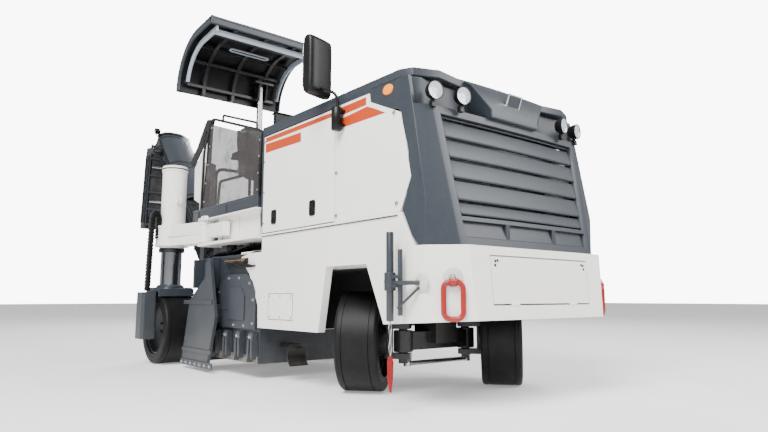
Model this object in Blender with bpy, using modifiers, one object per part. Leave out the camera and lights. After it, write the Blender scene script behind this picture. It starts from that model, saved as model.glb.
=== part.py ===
"""Compact wheeled cold planer with a rear loading conveyor, as named solids in metres.

+X is the front (radiator end), +Y the machine's left, +Z up.  The origin lies on the
ground, under the middle of the machine.
"""

import math

import bmesh
import bpy
from mathutils import Matrix, Vector

# ---------------------------------------------------------------- clearances
seat_gap = 0.0003          # between faces that touch
pin_gap = 0.0005           # radial, round a pin or a slide tube
run_gap = 0.008            # between pieces that move past each other

# ---------------------------------------------------------------- wheels and axles
front_axle_x = 2.05
wheelbase = 2.79
rear_axle_x = front_axle_x - wheelbase
tyre_radius = 0.33
tyre_width = 0.28
tyre_shoulder = 0.022
rim_radius = 0.235
rim_width = 0.20
kingpin_y = 0.30
kingpin_offset = 0.26      # from the kingpin to the middle of the tyre
kingpin_radius = 0.030
steer_rest = math.radians(-50.0)
rear_wheel_y = 0.86
hub_motor_radius = 0.10
axle_height = 0.14

# ---------------------------------------------------------------- lower body
body_half_width = 0.80
body_front = front_axle_x + 0.94
body_front_slope = 0.03    # how far the nose leans back over its height
body_rear = front_axle_x - 1.07
body_bottom = 0.39
nose_bottom = 0.495
nose_top = 0.90
waist_z = 1.10             # where the side panels start
nose_half_width = 0.60
bay_half_length = 0.58
bay_half_width = 0.745
bay_top = 0.80
arch_front_top = front_axle_x + 0.236
arch_front_foot = front_axle_x + 0.40
arch_rear_top = front_axle_x - 0.19
arch_rear_foot = front_axle_x - 0.275
hatch_half_width = 0.465
hatch_bottom = 0.575
hatch_top = 0.852
hatch_depth = 0.014

# ---------------------------------------------------------------- upper body
panel_thickness = 0.035
door_thickness = 0.02
door_bevel = 0.035         # the door's top edge is cut back so that it can swing up
panel_top = 1.87
panel_gap = 0.008
panel_split_x = front_axle_x - 0.105
hood_top = 1.945
hood_crown = 0.035
hood_front = front_axle_x + 0.66
hood_wall = 0.03
grille_foot_x = front_axle_x + 0.856
grille_head_x = front_axle_x + 0.71
grille_foot_z = nose_top + seat_gap
grille_head_z = 1.71
grille_foot_half = 0.638
grille_head_half = 0.704
grille_thickness = 0.05
bulkhead_thickness = 0.03

# ---------------------------------------------------------------- rear frame and drum
deck_bottom = 0.97
deck_top = 1.20
deck_half_width = 0.58
deck_rear = rear_axle_x + 0.34
guide_width = 0.05
drum_x = front_axle_x - 1.70
drum_z = 0.52
drum_radius = 0.34
drum_right = -0.735
drum_length = 1.00
drum_end_gap = 0.012
box_wall = 0.025
box_front = front_axle_x - 1.125
box_rear = front_axle_x - 2.275
box_bottom = 0.115
protector_thickness = 0.03
protector_right = -0.865   # its inner face
protector_left = 0.60
protector_outline = ((-2.345, 0.06), (-2.30, 0.03), (-1.86, 0.03), (-1.795, 0.07), (-1.68, 0.40),
                     (-1.665, 0.46), (-1.78, 0.86), (-1.80, 0.94), (-1.85, 0.94), (-1.87, 0.80),
                     (-2.206, 0.595))
guide_spots = (-1.80, -2.10)
guide_low = 0.42
guide_high = 0.56
drum_hub_radius = 0.10
scraper_thickness = 0.03

# ---------------------------------------------------------------- rear legs
pivot_x = front_axle_x - 2.15
pivot_y = -0.78
pivot_radius = 0.035
arm_bottom = 1.105
arm_top = 1.30
sleeve_radius = 0.115
sleeve_bore = 0.098
sleeve_bottom = 1.05
sleeve_top = 1.89
leg_radius = sleeve_bore - pin_gap
fork_top = 0.70
fork_bottom = tyre_radius * 2 + 0.012

# ---------------------------------------------------------------- conveyor
conveyor_y = -0.24
slew_x = rear_axle_x - 0.21
conveyor_half_width = 0.185
conveyor_depth = 0.17
conveyor_angle = math.radians(45.0)
raise_z = 0.97
lower_ahead = 0.15         # how far the lower section reaches ahead of its pivot
lower_length = 2.35
upper_length = 1.05
carrier_bottom = 1.25
carrier_top = 1.31
carrier_right = conveyor_y - 0.17
carrier_left = 0.08
turret_pin_radius = 0.04
belt_wall = 0.012
roller_radius = 0.05
belt_inset = 0.03
fold_angle = math.radians(129.0)
fold_ahead = 0.01          # the fold pin lies this far past the lower section's end
fold_drop = 0.03           # and this far under its cheeks
cheek_wall = 0.012
upper_extra = 0.03         # the upper section straddles the lower one

# ---------------------------------------------------------------- platform and canopy
platform_front = front_axle_x - 1.15
platform_rear = front_axle_x - 2.44
platform_half_width = 0.80
platform_bottom = 1.315
platform_floor = 0.022
platform_rim_top = 1.42
canopy_y = -0.30
post_x = rear_axle_x + 0.09
canopy_front = post_x + 0.70
canopy_rear = post_x - 0.12
canopy_half_width = 0.58
canopy_high = 3.21
canopy_low = 2.69
canopy_wall = 0.03
post_y = 0.0
post_radius = 0.045
mast_radius = 0.033

# ---------------------------------------------------------------- fresh start
for old in list(bpy.data.objects):
    bpy.data.objects.remove(old, do_unlink=True)

machine = bpy.data.collections.new("cold_planer")
cutters = bpy.data.collections.new("cutters")
bpy.context.scene.collection.children.link(machine)
bpy.context.scene.collection.children.link(cutters)


# ---------------------------------------------------------------- materials
def material(name, colour, roughness, metallic=0.0):
    """One principled finish."""
    finish = bpy.data.materials.new(name)
    finish.use_nodes = True
    shader = finish.node_tree.nodes["Principled BSDF"]
    shader.inputs["Base Color"].default_value = (*colour, 1.0)
    shader.inputs["Roughness"].default_value = roughness
    shader.inputs["Metallic"].default_value = metallic
    return finish


white_paint = material("white_paint", (0.80, 0.78, 0.73), 0.35)
grey_paint = material("grey_paint", (0.085, 0.10, 0.125), 0.45)
black_paint = material("black_paint", (0.02, 0.02, 0.022), 0.5)
orange_paint = material("orange_paint", (0.90, 0.16, 0.02), 0.35)
red_paint = material("red_paint", (0.55, 0.03, 0.03), 0.4)
bare_steel = material("bare_steel", (0.45, 0.46, 0.48), 0.3, 1.0)
rubber = material("rubber", (0.025, 0.025, 0.028), 0.75)
smoked_glass = material("smoked_glass", (0.10, 0.09, 0.09), 0.1)
mirror_glass = material("mirror_glass", (0.8, 0.8, 0.82), 0.05, 1.0)
seat_vinyl = material("seat_vinyl", (0.03, 0.03, 0.032), 0.6)


# ---------------------------------------------------------------- shape helpers
def keep(obj, finish):
    """Put a finished object among the machine's parts."""
    for holder in list(obj.users_collection):
        holder.objects.unlink(obj)
    machine.objects.link(obj)
    obj.data.materials.clear()
    obj.data.materials.append(finish)
    return obj


def mesh_object(name, shape):
    """An object from a bmesh, not yet in a collection."""
    mesh = bpy.data.meshes.new(name)
    bmesh.ops.recalc_face_normals(shape, faces=shape.faces)
    shape.to_mesh(mesh)
    shape.free()
    obj = bpy.data.objects.new(name, mesh)
    cutters.objects.link(obj)
    return obj


def box(name, low, high):
    """A block between two corners."""
    shape = bmesh.new()
    size = [top - bottom for bottom, top in zip(low, high)]
    middle = [(top + bottom) / 2 for bottom, top in zip(low, high)]
    place = Matrix.Translation(middle) @ Matrix.Diagonal((*size, 1.0))
    bmesh.ops.create_cube(shape, size=1.0, matrix=place)
    return mesh_object(name, shape)


def cylinder(name, start, end, radius, sides=24, end_radius=None):
    """A round bar or cone between two points."""
    shape = bmesh.new()
    run = Vector(end) - Vector(start)
    turn = run.to_track_quat("Z", "Y").to_matrix().to_4x4()
    place = Matrix.Translation((Vector(start) + Vector(end)) / 2) @ turn
    bmesh.ops.create_cone(shape, cap_ends=True, segments=sides, radius1=radius,
                          radius2=radius if end_radius is None else end_radius,
                          depth=run.length, matrix=place)
    return mesh_object(name, shape)


def to_mesh(obj):
    """The same shape as a welded mesh object, in world space, in place of a curve."""
    bpy.context.view_layer.update()
    graph = bpy.context.evaluated_depsgraph_get()
    mesh = bpy.data.meshes.new_from_object(obj.evaluated_get(graph))
    mesh.transform(obj.matrix_world)
    shape = bmesh.new()
    shape.from_mesh(mesh)
    bmesh.ops.remove_doubles(shape, verts=shape.verts, dist=0.00001)
    bmesh.ops.recalc_face_normals(shape, faces=shape.faces)
    shape.to_mesh(mesh)
    shape.free()
    name = obj.name
    bpy.data.objects.remove(obj, do_unlink=True)
    solid = bpy.data.objects.new(name, mesh)
    cutters.objects.link(solid)
    return solid


def plate(name, outline, axis, low, high):
    """A flat outline with thickness from low to high along an axis.

    The outline's points are (x, z) for axis "y", (x, y) for "z" and (y, z) for "x".
    """
    curve = bpy.data.curves.new(name, "CURVE")
    curve.dimensions = "2D"
    curve.fill_mode = "BOTH"
    curve.extrude = (high - low) / 2
    spline = curve.splines.new("POLY")
    spline.points.add(len(outline) - 1)
    for point, (across, up) in zip(spline.points, outline):
        point.co = (across, up, 0.0, 1.0)
    spline.use_cyclic_u = True
    obj = bpy.data.objects.new(name, curve)
    middle = (low + high) / 2
    if axis == "y":
        frame = Matrix(((1, 0, 0, 0), (0, 0, -1, middle), (0, 1, 0, 0), (0, 0, 0, 1)))
    elif axis == "x":
        frame = Matrix(((0, 0, 1, middle), (1, 0, 0, 0), (0, 1, 0, 0), (0, 0, 0, 1)))
    else:
        frame = Matrix.Translation((0, 0, middle))
    obj.matrix_world = frame
    cutters.objects.link(obj)
    return to_mesh(obj)


def tube(name, points, radius, resolution=3):
    """A round tube or rail along straight runs between points."""
    curve = bpy.data.curves.new(name, "CURVE")
    curve.dimensions = "3D"
    curve.bevel_depth = radius
    curve.bevel_resolution = resolution
    curve.use_fill_caps = True
    spline = curve.splines.new("POLY")
    spline.points.add(len(points) - 1)
    for point, place in zip(spline.points, points):
        point.co = (*place, 1.0)
    obj = bpy.data.objects.new(name, curve)
    cutters.objects.link(obj)
    return to_mesh(obj)


def turned(name, profile, centre, axis, steps=40, closed=True):
    """A profile of (radius, height) points spun about an axis through a centre."""
    shape = bmesh.new()
    points = [shape.verts.new((radius, 0.0, height)) for radius, height in profile]
    pairs = list(zip(points, points[1:]))
    if closed:
        pairs.append((points[-1], points[0]))
    for first, second in pairs:
        shape.edges.new((first, second))
    mesh = bpy.data.meshes.new(name)
    shape.to_mesh(mesh)
    shape.free()
    obj = bpy.data.objects.new(name, mesh)
    screw = obj.modifiers.new("spin", "SCREW")
    screw.axis = "Z"
    screw.steps = steps
    screw.render_steps = steps
    screw.use_merge_vertices = True
    screw.merge_threshold = 0.00005
    turn = Vector(axis).to_track_quat("Z", "Y").to_matrix().to_4x4()
    obj.matrix_world = Matrix.Translation(centre) @ turn
    cutters.objects.link(obj)
    return obj


def boolean(obj, other, operation):
    """Cut with, or join to, another object, and apply it."""
    if obj.type == "CURVE":
        obj = to_mesh(obj)
    change = obj.modifiers.new(operation.lower(), "BOOLEAN")
    change.operation = operation
    change.solver = "EXACT"
    change.object = other
    bpy.context.view_layer.update()
    graph = bpy.context.evaluated_depsgraph_get()
    mesh = bpy.data.meshes.new_from_object(obj.evaluated_get(graph))
    obj.modifiers.clear()
    obj.data = mesh
    bpy.data.objects.remove(other, do_unlink=True)
    return obj


def cut(obj, *tools):
    """Take each tool's volume away."""
    for tool in tools:
        obj = boolean(obj, tool, "DIFFERENCE")
    return obj


def join(obj, *others):
    """Weld other solids onto one."""
    for other in others:
        obj = boolean(obj, other, "UNION")
    return obj


def origin_at(obj, place):
    """Move an object's origin to a point on its joint's axis."""
    offset = obj.matrix_world.inverted() @ Vector(place)
    obj.data.transform(Matrix.Translation(-offset))
    obj.matrix_world = obj.matrix_world @ Matrix.Translation(offset)
    return obj


# ---------------------------------------------------------------- wheels
def wheel(name, centre, axle):
    """A solid rubber tyre on its dished steel rim."""
    half = tyre_width / 2
    edge = half - tyre_shoulder
    tyre_profile = [(tyre_radius - tyre_shoulder, half)]
    for step in range(1, 4):
        angle = math.pi / 2 * step / 4
        tyre_profile.append((tyre_radius - tyre_shoulder * (1 - math.sin(angle)),
                             edge + tyre_shoulder * math.cos(angle)))
    tyre_profile.append((tyre_radius, edge))
    tyre_profile.append((tyre_radius, -edge))
    for step in range(1, 4):
        angle = math.pi / 2 * step / 4
        tyre_profile.append((tyre_radius - tyre_shoulder * (1 - math.cos(angle)),
                             -edge - tyre_shoulder * math.sin(angle)))
    tyre_profile.append((tyre_radius - tyre_shoulder, -half))
    tyre_profile.append((rim_radius + seat_gap, -half))
    tyre_profile.append((rim_radius + seat_gap, half))
    keep(turned(f"{name}_tyre", tyre_profile, centre, axle), rubber)
    face = rim_width / 2
    rim_profile = [(0.0, face - 0.10), (hub_motor_radius, face - 0.10), (0.14, face - 0.085),
                   (rim_radius - 0.018, face - 0.065), (rim_radius - 0.012, face + 0.02),
                   (rim_radius, face + 0.02), (rim_radius, -face), (rim_radius - 0.012, -face),
                   (rim_radius - 0.018, face - 0.085), (0.14, face - 0.105),
                   (hub_motor_radius, face - 0.125), (0.0, face - 0.125)]
    keep(turned(f"{name}_rim", rim_profile, centre, axle, closed=False), grey_paint)


def front_wheels():
    """Both steered wheels, their knuckles, the axle beam and the tie rod."""
    for side, name in ((-1, "right"), (1, "left")):
        pin = Vector((front_axle_x, side * kingpin_y, tyre_radius))
        straight_out = Vector((0, side, 0))
        out = Matrix.Rotation(steer_rest, 3, "Z") @ straight_out
        centre = pin + out * kingpin_offset
        wheel(f"front_{name}", centre, out)
        keep(front_knuckle(name, pin, side), black_paint)
    keep(front_axle(), black_paint)
    keep(tie_rod(), bare_steel)


arm_reach = 0.17           # steering arm, behind the kingpin
arm_z = tyre_radius - axle_height / 2 - 0.075
tie_radius = 0.014


def front_knuckle(name, pin, side):
    """A fork on the kingpin with the hub motor and the steering arm, turned as it stands."""
    low = pin.z - axle_height / 2 - 0.045
    high = pin.z + axle_height / 2 + 0.045
    web_y = pin.y + side * 0.115
    lugs = [sorted((pin.y - side * 0.05, web_y)), (low, low + 0.035), (high - 0.035, high)]
    obj = box(f"front_{name}_knuckle", (pin.x - 0.055, lugs[0][0], low), (pin.x + 0.055, lugs[0][1], high))
    gap_ends = sorted((pin.y - side * 0.1, pin.y + side * 0.085))
    obj = cut(obj, box("beam_gap", (pin.x - 0.1, gap_ends[0], low + 0.035),
                       (pin.x + 0.1, gap_ends[1], high - 0.035)))
    obj = join(obj, cylinder("kingpin", (pin.x, pin.y, low + 0.01), (pin.x, pin.y, high + 0.01),
                             kingpin_radius))
    motor_end = pin.y + side * (kingpin_offset + rim_width / 2 - 0.125 - seat_gap)
    obj = join(obj, cylinder("motor", (pin.x, pin.y + side * 0.10, pin.z), (pin.x, motor_end, pin.z),
                             hub_motor_radius))
    arm_x = pin.x - arm_reach
    obj = join(obj, box("steering_arm", (arm_x - 0.03, pin.y - 0.028, arm_z),
                        (pin.x + 0.03, pin.y + 0.028, low + 0.012)))
    obj = cut(obj, cylinder("tie_hole", (arm_x, pin.y, arm_z - 0.01), (arm_x, pin.y, low + 0.05),
                            tie_radius + pin_gap, 16))
    spin = Matrix.Translation(pin) @ Matrix.Rotation(steer_rest, 4, "Z") @ Matrix.Translation(-pin)
    obj.data.transform(spin)
    return origin_at(obj, pin)


def front_axle():
    """The cross beam with its kingpin bosses and the block it swings on."""
    half = axle_height / 2
    beam = box("front_axle", (front_axle_x - 0.05, -kingpin_y, tyre_radius - half + 0.01),
               (front_axle_x + 0.05, kingpin_y, tyre_radius + half - 0.01))
    for side in (-1, 1):
        boss = cylinder("boss", (front_axle_x, side * kingpin_y, tyre_radius - half),
                        (front_axle_x, side * kingpin_y, tyre_radius + half), 0.065)
        beam = join(beam, boss)
    beam = join(beam, box("axle_block", (front_axle_x - 0.11, -0.10, tyre_radius - 0.02),
                          (front_axle_x + 0.11, 0.10, bay_top - seat_gap)))
    for side in (-1, 1):
        bore = cylinder("bore", (front_axle_x, side * kingpin_y, 0.1),
                        (front_axle_x, side * kingpin_y, 0.6), kingpin_radius + pin_gap)
        beam = cut(beam, bore)
    return beam


def tie_rod():
    """The rod that ties both steering arms, parallel to the axle."""
    ends = []
    for side in (-1, 1):
        pin = Vector((front_axle_x, side * kingpin_y, tyre_radius))
        reach = Matrix.Rotation(steer_rest, 3, "Z") @ Vector((-arm_reach, 0, 0))
        ends.append(pin + reach)
    rod_z = arm_z - 0.02
    right = Vector((ends[0].x, ends[0].y, rod_z))
    left = Vector((ends[1].x, ends[1].y, rod_z))
    obj = cylinder("tie_rod", right, left, 0.016, 16)
    for end in (right, left):
        obj = join(obj, cylinder("eye", end - Vector((0, 0, 0.018)), end + Vector((0, 0, 0.018)),
                                 0.026, 16))
        obj = join(obj, cylinder("stud", end, (end.x, end.y, arm_z + 0.035), tie_radius, 16))
    return origin_at(obj, (ends[0].x, ends[0].y, rod_z))


# ---------------------------------------------------------------- lower body
def chassis():
    """The painted lower body with its nose, wheel bay and arches."""
    outline = [(body_rear, body_bottom), (front_axle_x - 0.1, body_bottom),
               (front_axle_x + 0.1, nose_bottom - 0.045), (body_front, nose_bottom),
               (body_front - body_front_slope, nose_top),
               (grille_foot_x - 0.19, nose_top), (front_axle_x + 0.64, 0.95),
               (front_axle_x + 0.555, waist_z), (body_rear, waist_z)]
    obj = plate("lower_body", outline, "y", -body_half_width, body_half_width)
    corner = body_half_width - nose_half_width
    for side in (-1, 1):
        wedge = [(body_front - corner, side * (body_half_width + 0.001)),
                 (body_front + 0.001, side * (nose_half_width + 0.0)),
                 (body_front + 0.3, side * nose_half_width),
                 (body_front + 0.3, side * (body_half_width + 0.3)),
                 (body_front - corner, side * (body_half_width + 0.3))]
        obj = cut(obj, plate("corner", wedge, "z", 0.2, 1.4))
    bay = box("bay", (front_axle_x - bay_half_length, -bay_half_width, 0.2),
              (front_axle_x + bay_half_length, bay_half_width, bay_top))
    arch_top = bay_top + 0.017
    rear_slope = (arch_rear_top - arch_rear_foot) / (arch_top - body_bottom)
    front_slope = (arch_front_top - arch_front_foot) / (arch_top - nose_bottom + 0.03)
    floor = 0.2
    arch_outline = [(arch_rear_top - rear_slope * (arch_top - floor), floor),
                    (arch_front_top - front_slope * (arch_top - floor), floor),
                    (arch_front_top, arch_top), (arch_rear_top, arch_top)]
    for side in (-1, 1):
        ends = sorted((side * (bay_half_width - 0.03), side * 1.0))
        obj = cut(obj, plate("arch", arch_outline, "y", *ends))
    pocket = box("pocket", (body_front - body_front_slope - hatch_depth - 0.006,
                            -hatch_half_width, hatch_bottom),
                 (body_front + 0.1, hatch_half_width, hatch_top))
    obj = cut(obj, bay, pocket)
    for y in (-0.28, 0.28):
        obj = join(obj, box("hinge", (body_front - body_front_slope - 0.01, y - 0.03, hatch_bottom - 0.005),
                            (body_front - 0.008, y + 0.03, hatch_bottom + panel_gap - pin_gap)))
    return obj


def front_hatch():
    """The service hatch in the nose, hinged along its lower edge."""
    lean = body_front_slope / (nose_top - nose_bottom)
    low = hatch_bottom + panel_gap
    high = hatch_top - panel_gap
    foot = body_front - lean * (low - nose_bottom)
    head = body_front - lean * (high - nose_bottom)
    outline = [(foot - hatch_depth, low), (foot, low), (head, high), (head - hatch_depth, high)]
    obj = plate("front_hatch", outline, "y", -hatch_half_width + panel_gap,
                hatch_half_width - panel_gap)
    return origin_at(obj, (foot, 0, low))


def tie_down_eyes():
    """The red tie-down links on both front corners."""
    for side, name in ((-1, "right"), (1, "left")):
        along = Vector((-0.7071, side * 0.7071, 0))
        out = Vector((0.7071, side * 0.7071, 0))
        middle = Vector((body_front - 0.09, side * (nose_half_width + 0.09), 0))
        face = middle + out * (seat_gap + 0.0145)
        points = []
        for across, up in ((-0.045, 0.66), (-0.045, 0.54), (-0.035, 0.515), (0, 0.505),
                           (0.035, 0.515), (0.045, 0.54), (0.045, 0.66), (0.035, 0.685),
                           (0, 0.695), (-0.035, 0.685)):
            points.append(face + along * across + Vector((0, 0, up)))
        ring = bpy.data.curves.new("ring", "CURVE")
        ring.dimensions = "3D"
        ring.bevel_depth = 0.014
        ring.bevel_resolution = 2
        spline = ring.splines.new("POLY")
        spline.points.add(len(points) - 1)
        for point, place in zip(spline.points, points):
            point.co = (*place, 1.0)
        spline.use_cyclic_u = True
        obj = bpy.data.objects.new(f"tie_down_eye_{name}", ring)
        cutters.objects.link(obj)
        keep(to_mesh(obj), red_paint)


# ---------------------------------------------------------------- upper body
def side_panels():
    """Fixed front side panels and top-hinged rear service doors."""
    for side, name in ((-1, "right"), (1, "left")):
        outer = side * body_half_width
        inner = side * (body_half_width - panel_thickness)
        low, high = min(outer, inner), max(outer, inner)
        door_inner = side * (body_half_width - door_thickness)
        door_outline = [(outer, waist_z + panel_gap), (outer, panel_top - panel_gap),
                        (door_inner, panel_top - panel_gap - door_bevel),
                        (door_inner, waist_z + panel_gap)]
        door = plate(f"service_door_{name}", door_outline, "x", body_rear + seat_gap,
                     panel_split_x - panel_gap / 2)
        keep(origin_at(door, (body_rear, outer, panel_top - panel_gap)), white_paint)
        fixed_outline = [(panel_split_x + panel_gap / 2, waist_z + seat_gap),
                         (front_axle_x + 0.531, waist_z + seat_gap),
                         (front_axle_x + 0.557, waist_z + 0.014), (front_axle_x + 0.643, waist_z + 0.191),
                         (front_axle_x + 0.560, panel_top - 0.191),
                         (front_axle_x + 0.27, panel_top - 0.058), (front_axle_x + 0.26, panel_top),
                         (panel_split_x + panel_gap / 2, panel_top)]
        fixed = plate(f"side_panel_{name}", fixed_outline, "y", low, high)
        keep(fixed, white_paint)


def hood():
    """The dark hood: a crowned top with deep side rails and the lamp recess."""
    half = body_half_width
    outline = [(-half, panel_top + seat_gap), (-half, hood_top), (-half * 0.7, hood_top + hood_crown * 0.7),
               (0, hood_top + hood_crown), (half * 0.7, hood_top + hood_crown * 0.7),
               (half, hood_top), (half, panel_top + seat_gap), (half - 0.05, panel_top + seat_gap),
               (half - 0.05, hood_top - hood_wall), (0, hood_top + hood_crown - hood_wall),
               (-half + 0.05, hood_top - hood_wall), (-half + 0.05, panel_top + seat_gap)]
    obj = plate("hood", outline, "x", body_rear, hood_front)
    for side in (-1, 1):
        corner = [(hood_front - 0.10, side * (half + 0.01)), (hood_front + 0.01, side * (half - 0.16)),
                  (hood_front + 0.1, side * (half - 0.16)), (hood_front + 0.1, side * (half + 0.1)),
                  (hood_front - 0.10, side * (half + 0.1))]
        obj = cut(obj, plate("corner", corner, "z", 1.5, 2.5))
    return obj


def grille():
    """The leaning radiator grille with its slots and swept corners."""
    lean = (grille_foot_x - grille_head_x) / (grille_head_z - grille_foot_z)

    def front_at(height):
        return grille_foot_x - lean * (height - grille_foot_z)

    outline = [(-grille_foot_half, grille_foot_z), (grille_foot_half, grille_foot_z),
               (grille_head_half, grille_head_z), (-grille_head_half, grille_head_z)]
    obj = plate("grille", outline, "x", -0.2, 0.2)
    shear = Matrix.Identity(4)
    shear[0][2] = -lean
    shear[0][3] = grille_foot_x + lean * grille_foot_z - 0.2
    obj.data.transform(shear)
    slab = plate("slab", [(front_at(0.5) - grille_thickness, 0.5), (front_at(2.0) - grille_thickness, 2.0),
                          (front_axle_x - 0.5, 2.0), (front_axle_x - 0.5, 0.5)], "y", -1.0, 1.0)
    obj = cut(obj, slab)
    for height in (1.06, 1.20, 1.34, 1.48, 1.62):
        slot = box("slot", (front_axle_x + 0.3, -0.56, height - 0.014),
                   (front_axle_x + 1.2, 0.56, height + 0.014))
        obj = cut(obj, slot)
    return obj


def grille_corners():
    """The bright swept corner pillars beside the grille."""
    for side, name in ((-1, "right"), (1, "left")):
        levels = ((grille_foot_z, grille_foot_x, grille_foot_half, front_axle_x + 0.75),
                  (grille_head_z, grille_head_x, grille_head_half, front_axle_x + 0.655))
        shape = bmesh.new()
        rings = []
        for height, front, half, rear in levels:
            wall = panel_thickness
            gap = seat_gap
            ring = [(front, side * (half + gap)), (rear, side * body_half_width),
                    (rear - 0.05, side * body_half_width),
                    (rear - 0.05, side * (body_half_width - wall)),
                    (front - grille_thickness, side * (half + gap))]
            rings.append([shape.verts.new((x, y, height)) for x, y in ring])
        low_ring, high_ring = rings
        count = len(low_ring)
        for index in range(count):
            after = (index + 1) % count
            shape.faces.new((low_ring[index], low_ring[after], high_ring[after], high_ring[index]))
        shape.faces.new(low_ring)
        shape.faces.new(list(reversed(high_ring)))
        keep(mesh_object(f"corner_pillar_{name}", shape), grey_paint)


def engine_room():
    """What stands inside: the bulkhead, the engine block and the radiator."""
    keep(box("rear_bulkhead", (body_rear - bulkhead_thickness - seat_gap, -body_half_width, waist_z + 0.06),
             (body_rear - seat_gap, body_half_width, hood_top)), grey_paint)
    keep(box("engine_block", (front_axle_x - 0.85, -0.38, waist_z + seat_gap),
             (front_axle_x + 0.15, 0.38, 1.74)), bare_steel)
    keep(box("radiator", (front_axle_x + 0.40, -0.60, waist_z + seat_gap),
             (front_axle_x + 0.52, 0.60, 1.80)), black_paint)


lamp_z = 1.775
lamp_x = front_axle_x + 0.735


def lamps():
    """Two round work lamps on one bracket at each side of the nose."""
    for side, name in ((-1, "right"), (1, "left")):
        ends = sorted((side * 0.40, side * 0.745))
        bar = box(f"work_lamps_{name}", (lamp_x - 0.03, ends[0], lamp_z - 0.06),
                  (lamp_x - 0.015, ends[1], lamp_z - 0.045))
        bar = join(bar, box("bracket", (grille_head_x - grille_thickness, side * 0.60 - 0.02,
                                        grille_head_z + seat_gap),
                            (lamp_x - 0.02, side * 0.60 + 0.02, lamp_z - 0.05)))
        for y in (0.50, 0.70):
            bar = join(bar, cylinder("can", (lamp_x - 0.05, side * y, lamp_z),
                                     (lamp_x, side * y, lamp_z), 0.05, 20, 0.055))
        keep(bar, black_paint)


def mirror():
    """The big mirror on the right, on its bent arm."""
    mount = Vector((front_axle_x - 0.03, -body_half_width - seat_gap, 1.79))
    arm = box("mirror", (mount.x - 0.03, mount.y - 0.05, mount.z - 0.05),
              (mount.x + 0.03, mount.y, mount.z + 0.05))
    points = [mount + Vector((0, -0.03, 0)), mount + Vector((0, -0.03, 0.10)),
              mount + Vector((-0.04, -0.06, 0.14)), mount + Vector((-0.17, -0.075, 0.26))]
    centre = mount + Vector((-0.18, -0.075, 0.37))
    half = Vector((0.05, 0.11, 0.20))
    arm = join(arm, tube("stay", points, 0.011), box("shell", centre - half, centre + half))
    keep(arm, black_paint)


# ---------------------------------------------------------------- rear frame
def rear_frame():
    """The deck over the drum box, with the left leg's arm and the conveyor carrier."""
    front = body_rear - bulkhead_thickness - 2 * seat_gap
    obj = box("rear_frame", (deck_rear, -deck_half_width, deck_bottom),
              (body_rear - seat_gap, deck_half_width, waist_z + 0.05))
    obj = join(obj, box("deck", (deck_rear, -deck_half_width, deck_bottom),
                        (front, deck_half_width, deck_top)))
    obj = join(obj, box("left_arm", (rear_axle_x - 0.10, deck_half_width - 0.05, 1.08),
                        (rear_axle_x + 0.60, rear_wheel_y - sleeve_radius - 0.02, deck_top - 0.01)))
    carrier = [(slew_x - 0.07, conveyor_y - 0.08), (slew_x - 0.07, conveyor_y + 0.08),
               (slew_x + 0.12, carrier_left), (deck_rear + 0.10, carrier_left),
               (deck_rear + 0.10, carrier_right), (slew_x + 0.12, carrier_right)]
    obj = join(obj, plate("carrier", carrier, "z", carrier_bottom, carrier_top))
    obj = join(obj, box("carrier_foot", (deck_rear, carrier_right, deck_top - 0.1),
                        (deck_rear + 0.10, carrier_left, carrier_bottom + 0.02)))
    bore = cylinder("turret_bore", (slew_x, conveyor_y, 1.0), (slew_x, conveyor_y, 1.5),
                    turret_pin_radius + pin_gap)
    return cut(obj, bore)


def drum_box():
    """The open-bottomed housing round the drum."""
    left = drum_right + drum_length + drum_end_gap
    right = drum_right - drum_end_gap
    obj = box("drum_box", (box_rear, right - box_wall, box_bottom),
              (box_front, left + box_wall, deck_bottom - seat_gap))
    room = box("room", (box_rear + box_wall, right, 0.0),
               (box_front - box_wall, left, drum_z + drum_radius + 0.10))
    outlet = box("outlet", (box_rear - 0.1, conveyor_y - 0.2, 0.45),
                 (box_rear + 0.1, conveyor_y + 0.2, 0.80))
    shaft_hole = cylinder("shaft_hole", (drum_x, left - 0.1, drum_z), (drum_x, left + 0.1, drum_z),
                          drum_hub_radius + run_gap, 32)
    obj = cut(obj, room, outlet, shaft_hole)
    for spot in guide_spots:
        x = front_axle_x + spot
        obj = join(obj, box("guide", (x - guide_width / 2, protector_right + pin_gap, guide_low),
                            (x + guide_width / 2, right - box_wall + 0.002, guide_high)))
    for y in (drum_right + 0.10, drum_right + drum_length - 0.10):
        obj = join(obj, box("guide", (box_rear - run_gap + pin_gap, y - guide_width / 2, 0.16),
                            (box_rear + 0.002, y + guide_width / 2, 0.38)))
    return obj


def milling_drum():
    """The drum body on its shaft; its picks are fitted on the surface."""
    left = drum_right + drum_length
    obj = cylinder("milling_drum", (drum_x, drum_right, drum_z), (drum_x, left, drum_z),
                   drum_radius, 40)
    wall_left = left + drum_end_gap + box_wall
    wall_right = drum_right - drum_end_gap
    obj = join(obj, cylinder("hub", (drum_x, left - 0.02, drum_z), (drum_x, wall_left, drum_z),
                             drum_hub_radius, 32),
               cylinder("stub", (drum_x, wall_right + seat_gap, drum_z),
                        (drum_x, drum_right + 0.02, drum_z), 0.05))
    return origin_at(obj, (drum_x, 0, drum_z))


def drum_drive():
    """The gearbox that carries the drum from the left."""
    left = drum_right + drum_length + drum_end_gap + box_wall
    obj = cylinder("drum_gearbox", (drum_x, left + seat_gap, drum_z), (drum_x, left + 0.20, drum_z),
                   0.24, 32)
    obj = join(obj, box("drive_case", (drum_x - 0.45, left + 0.03, drum_z + 0.005),
                        (drum_x + 0.17, left + 0.17, deck_bottom - seat_gap)))
    for spot in guide_spots:
        x = front_axle_x + spot
        obj = join(obj, box("guide", (x - guide_width / 2, left + 0.15, 0.53),
                            (x + guide_width / 2, protector_left - pin_gap, 0.66)))
    return obj


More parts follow.
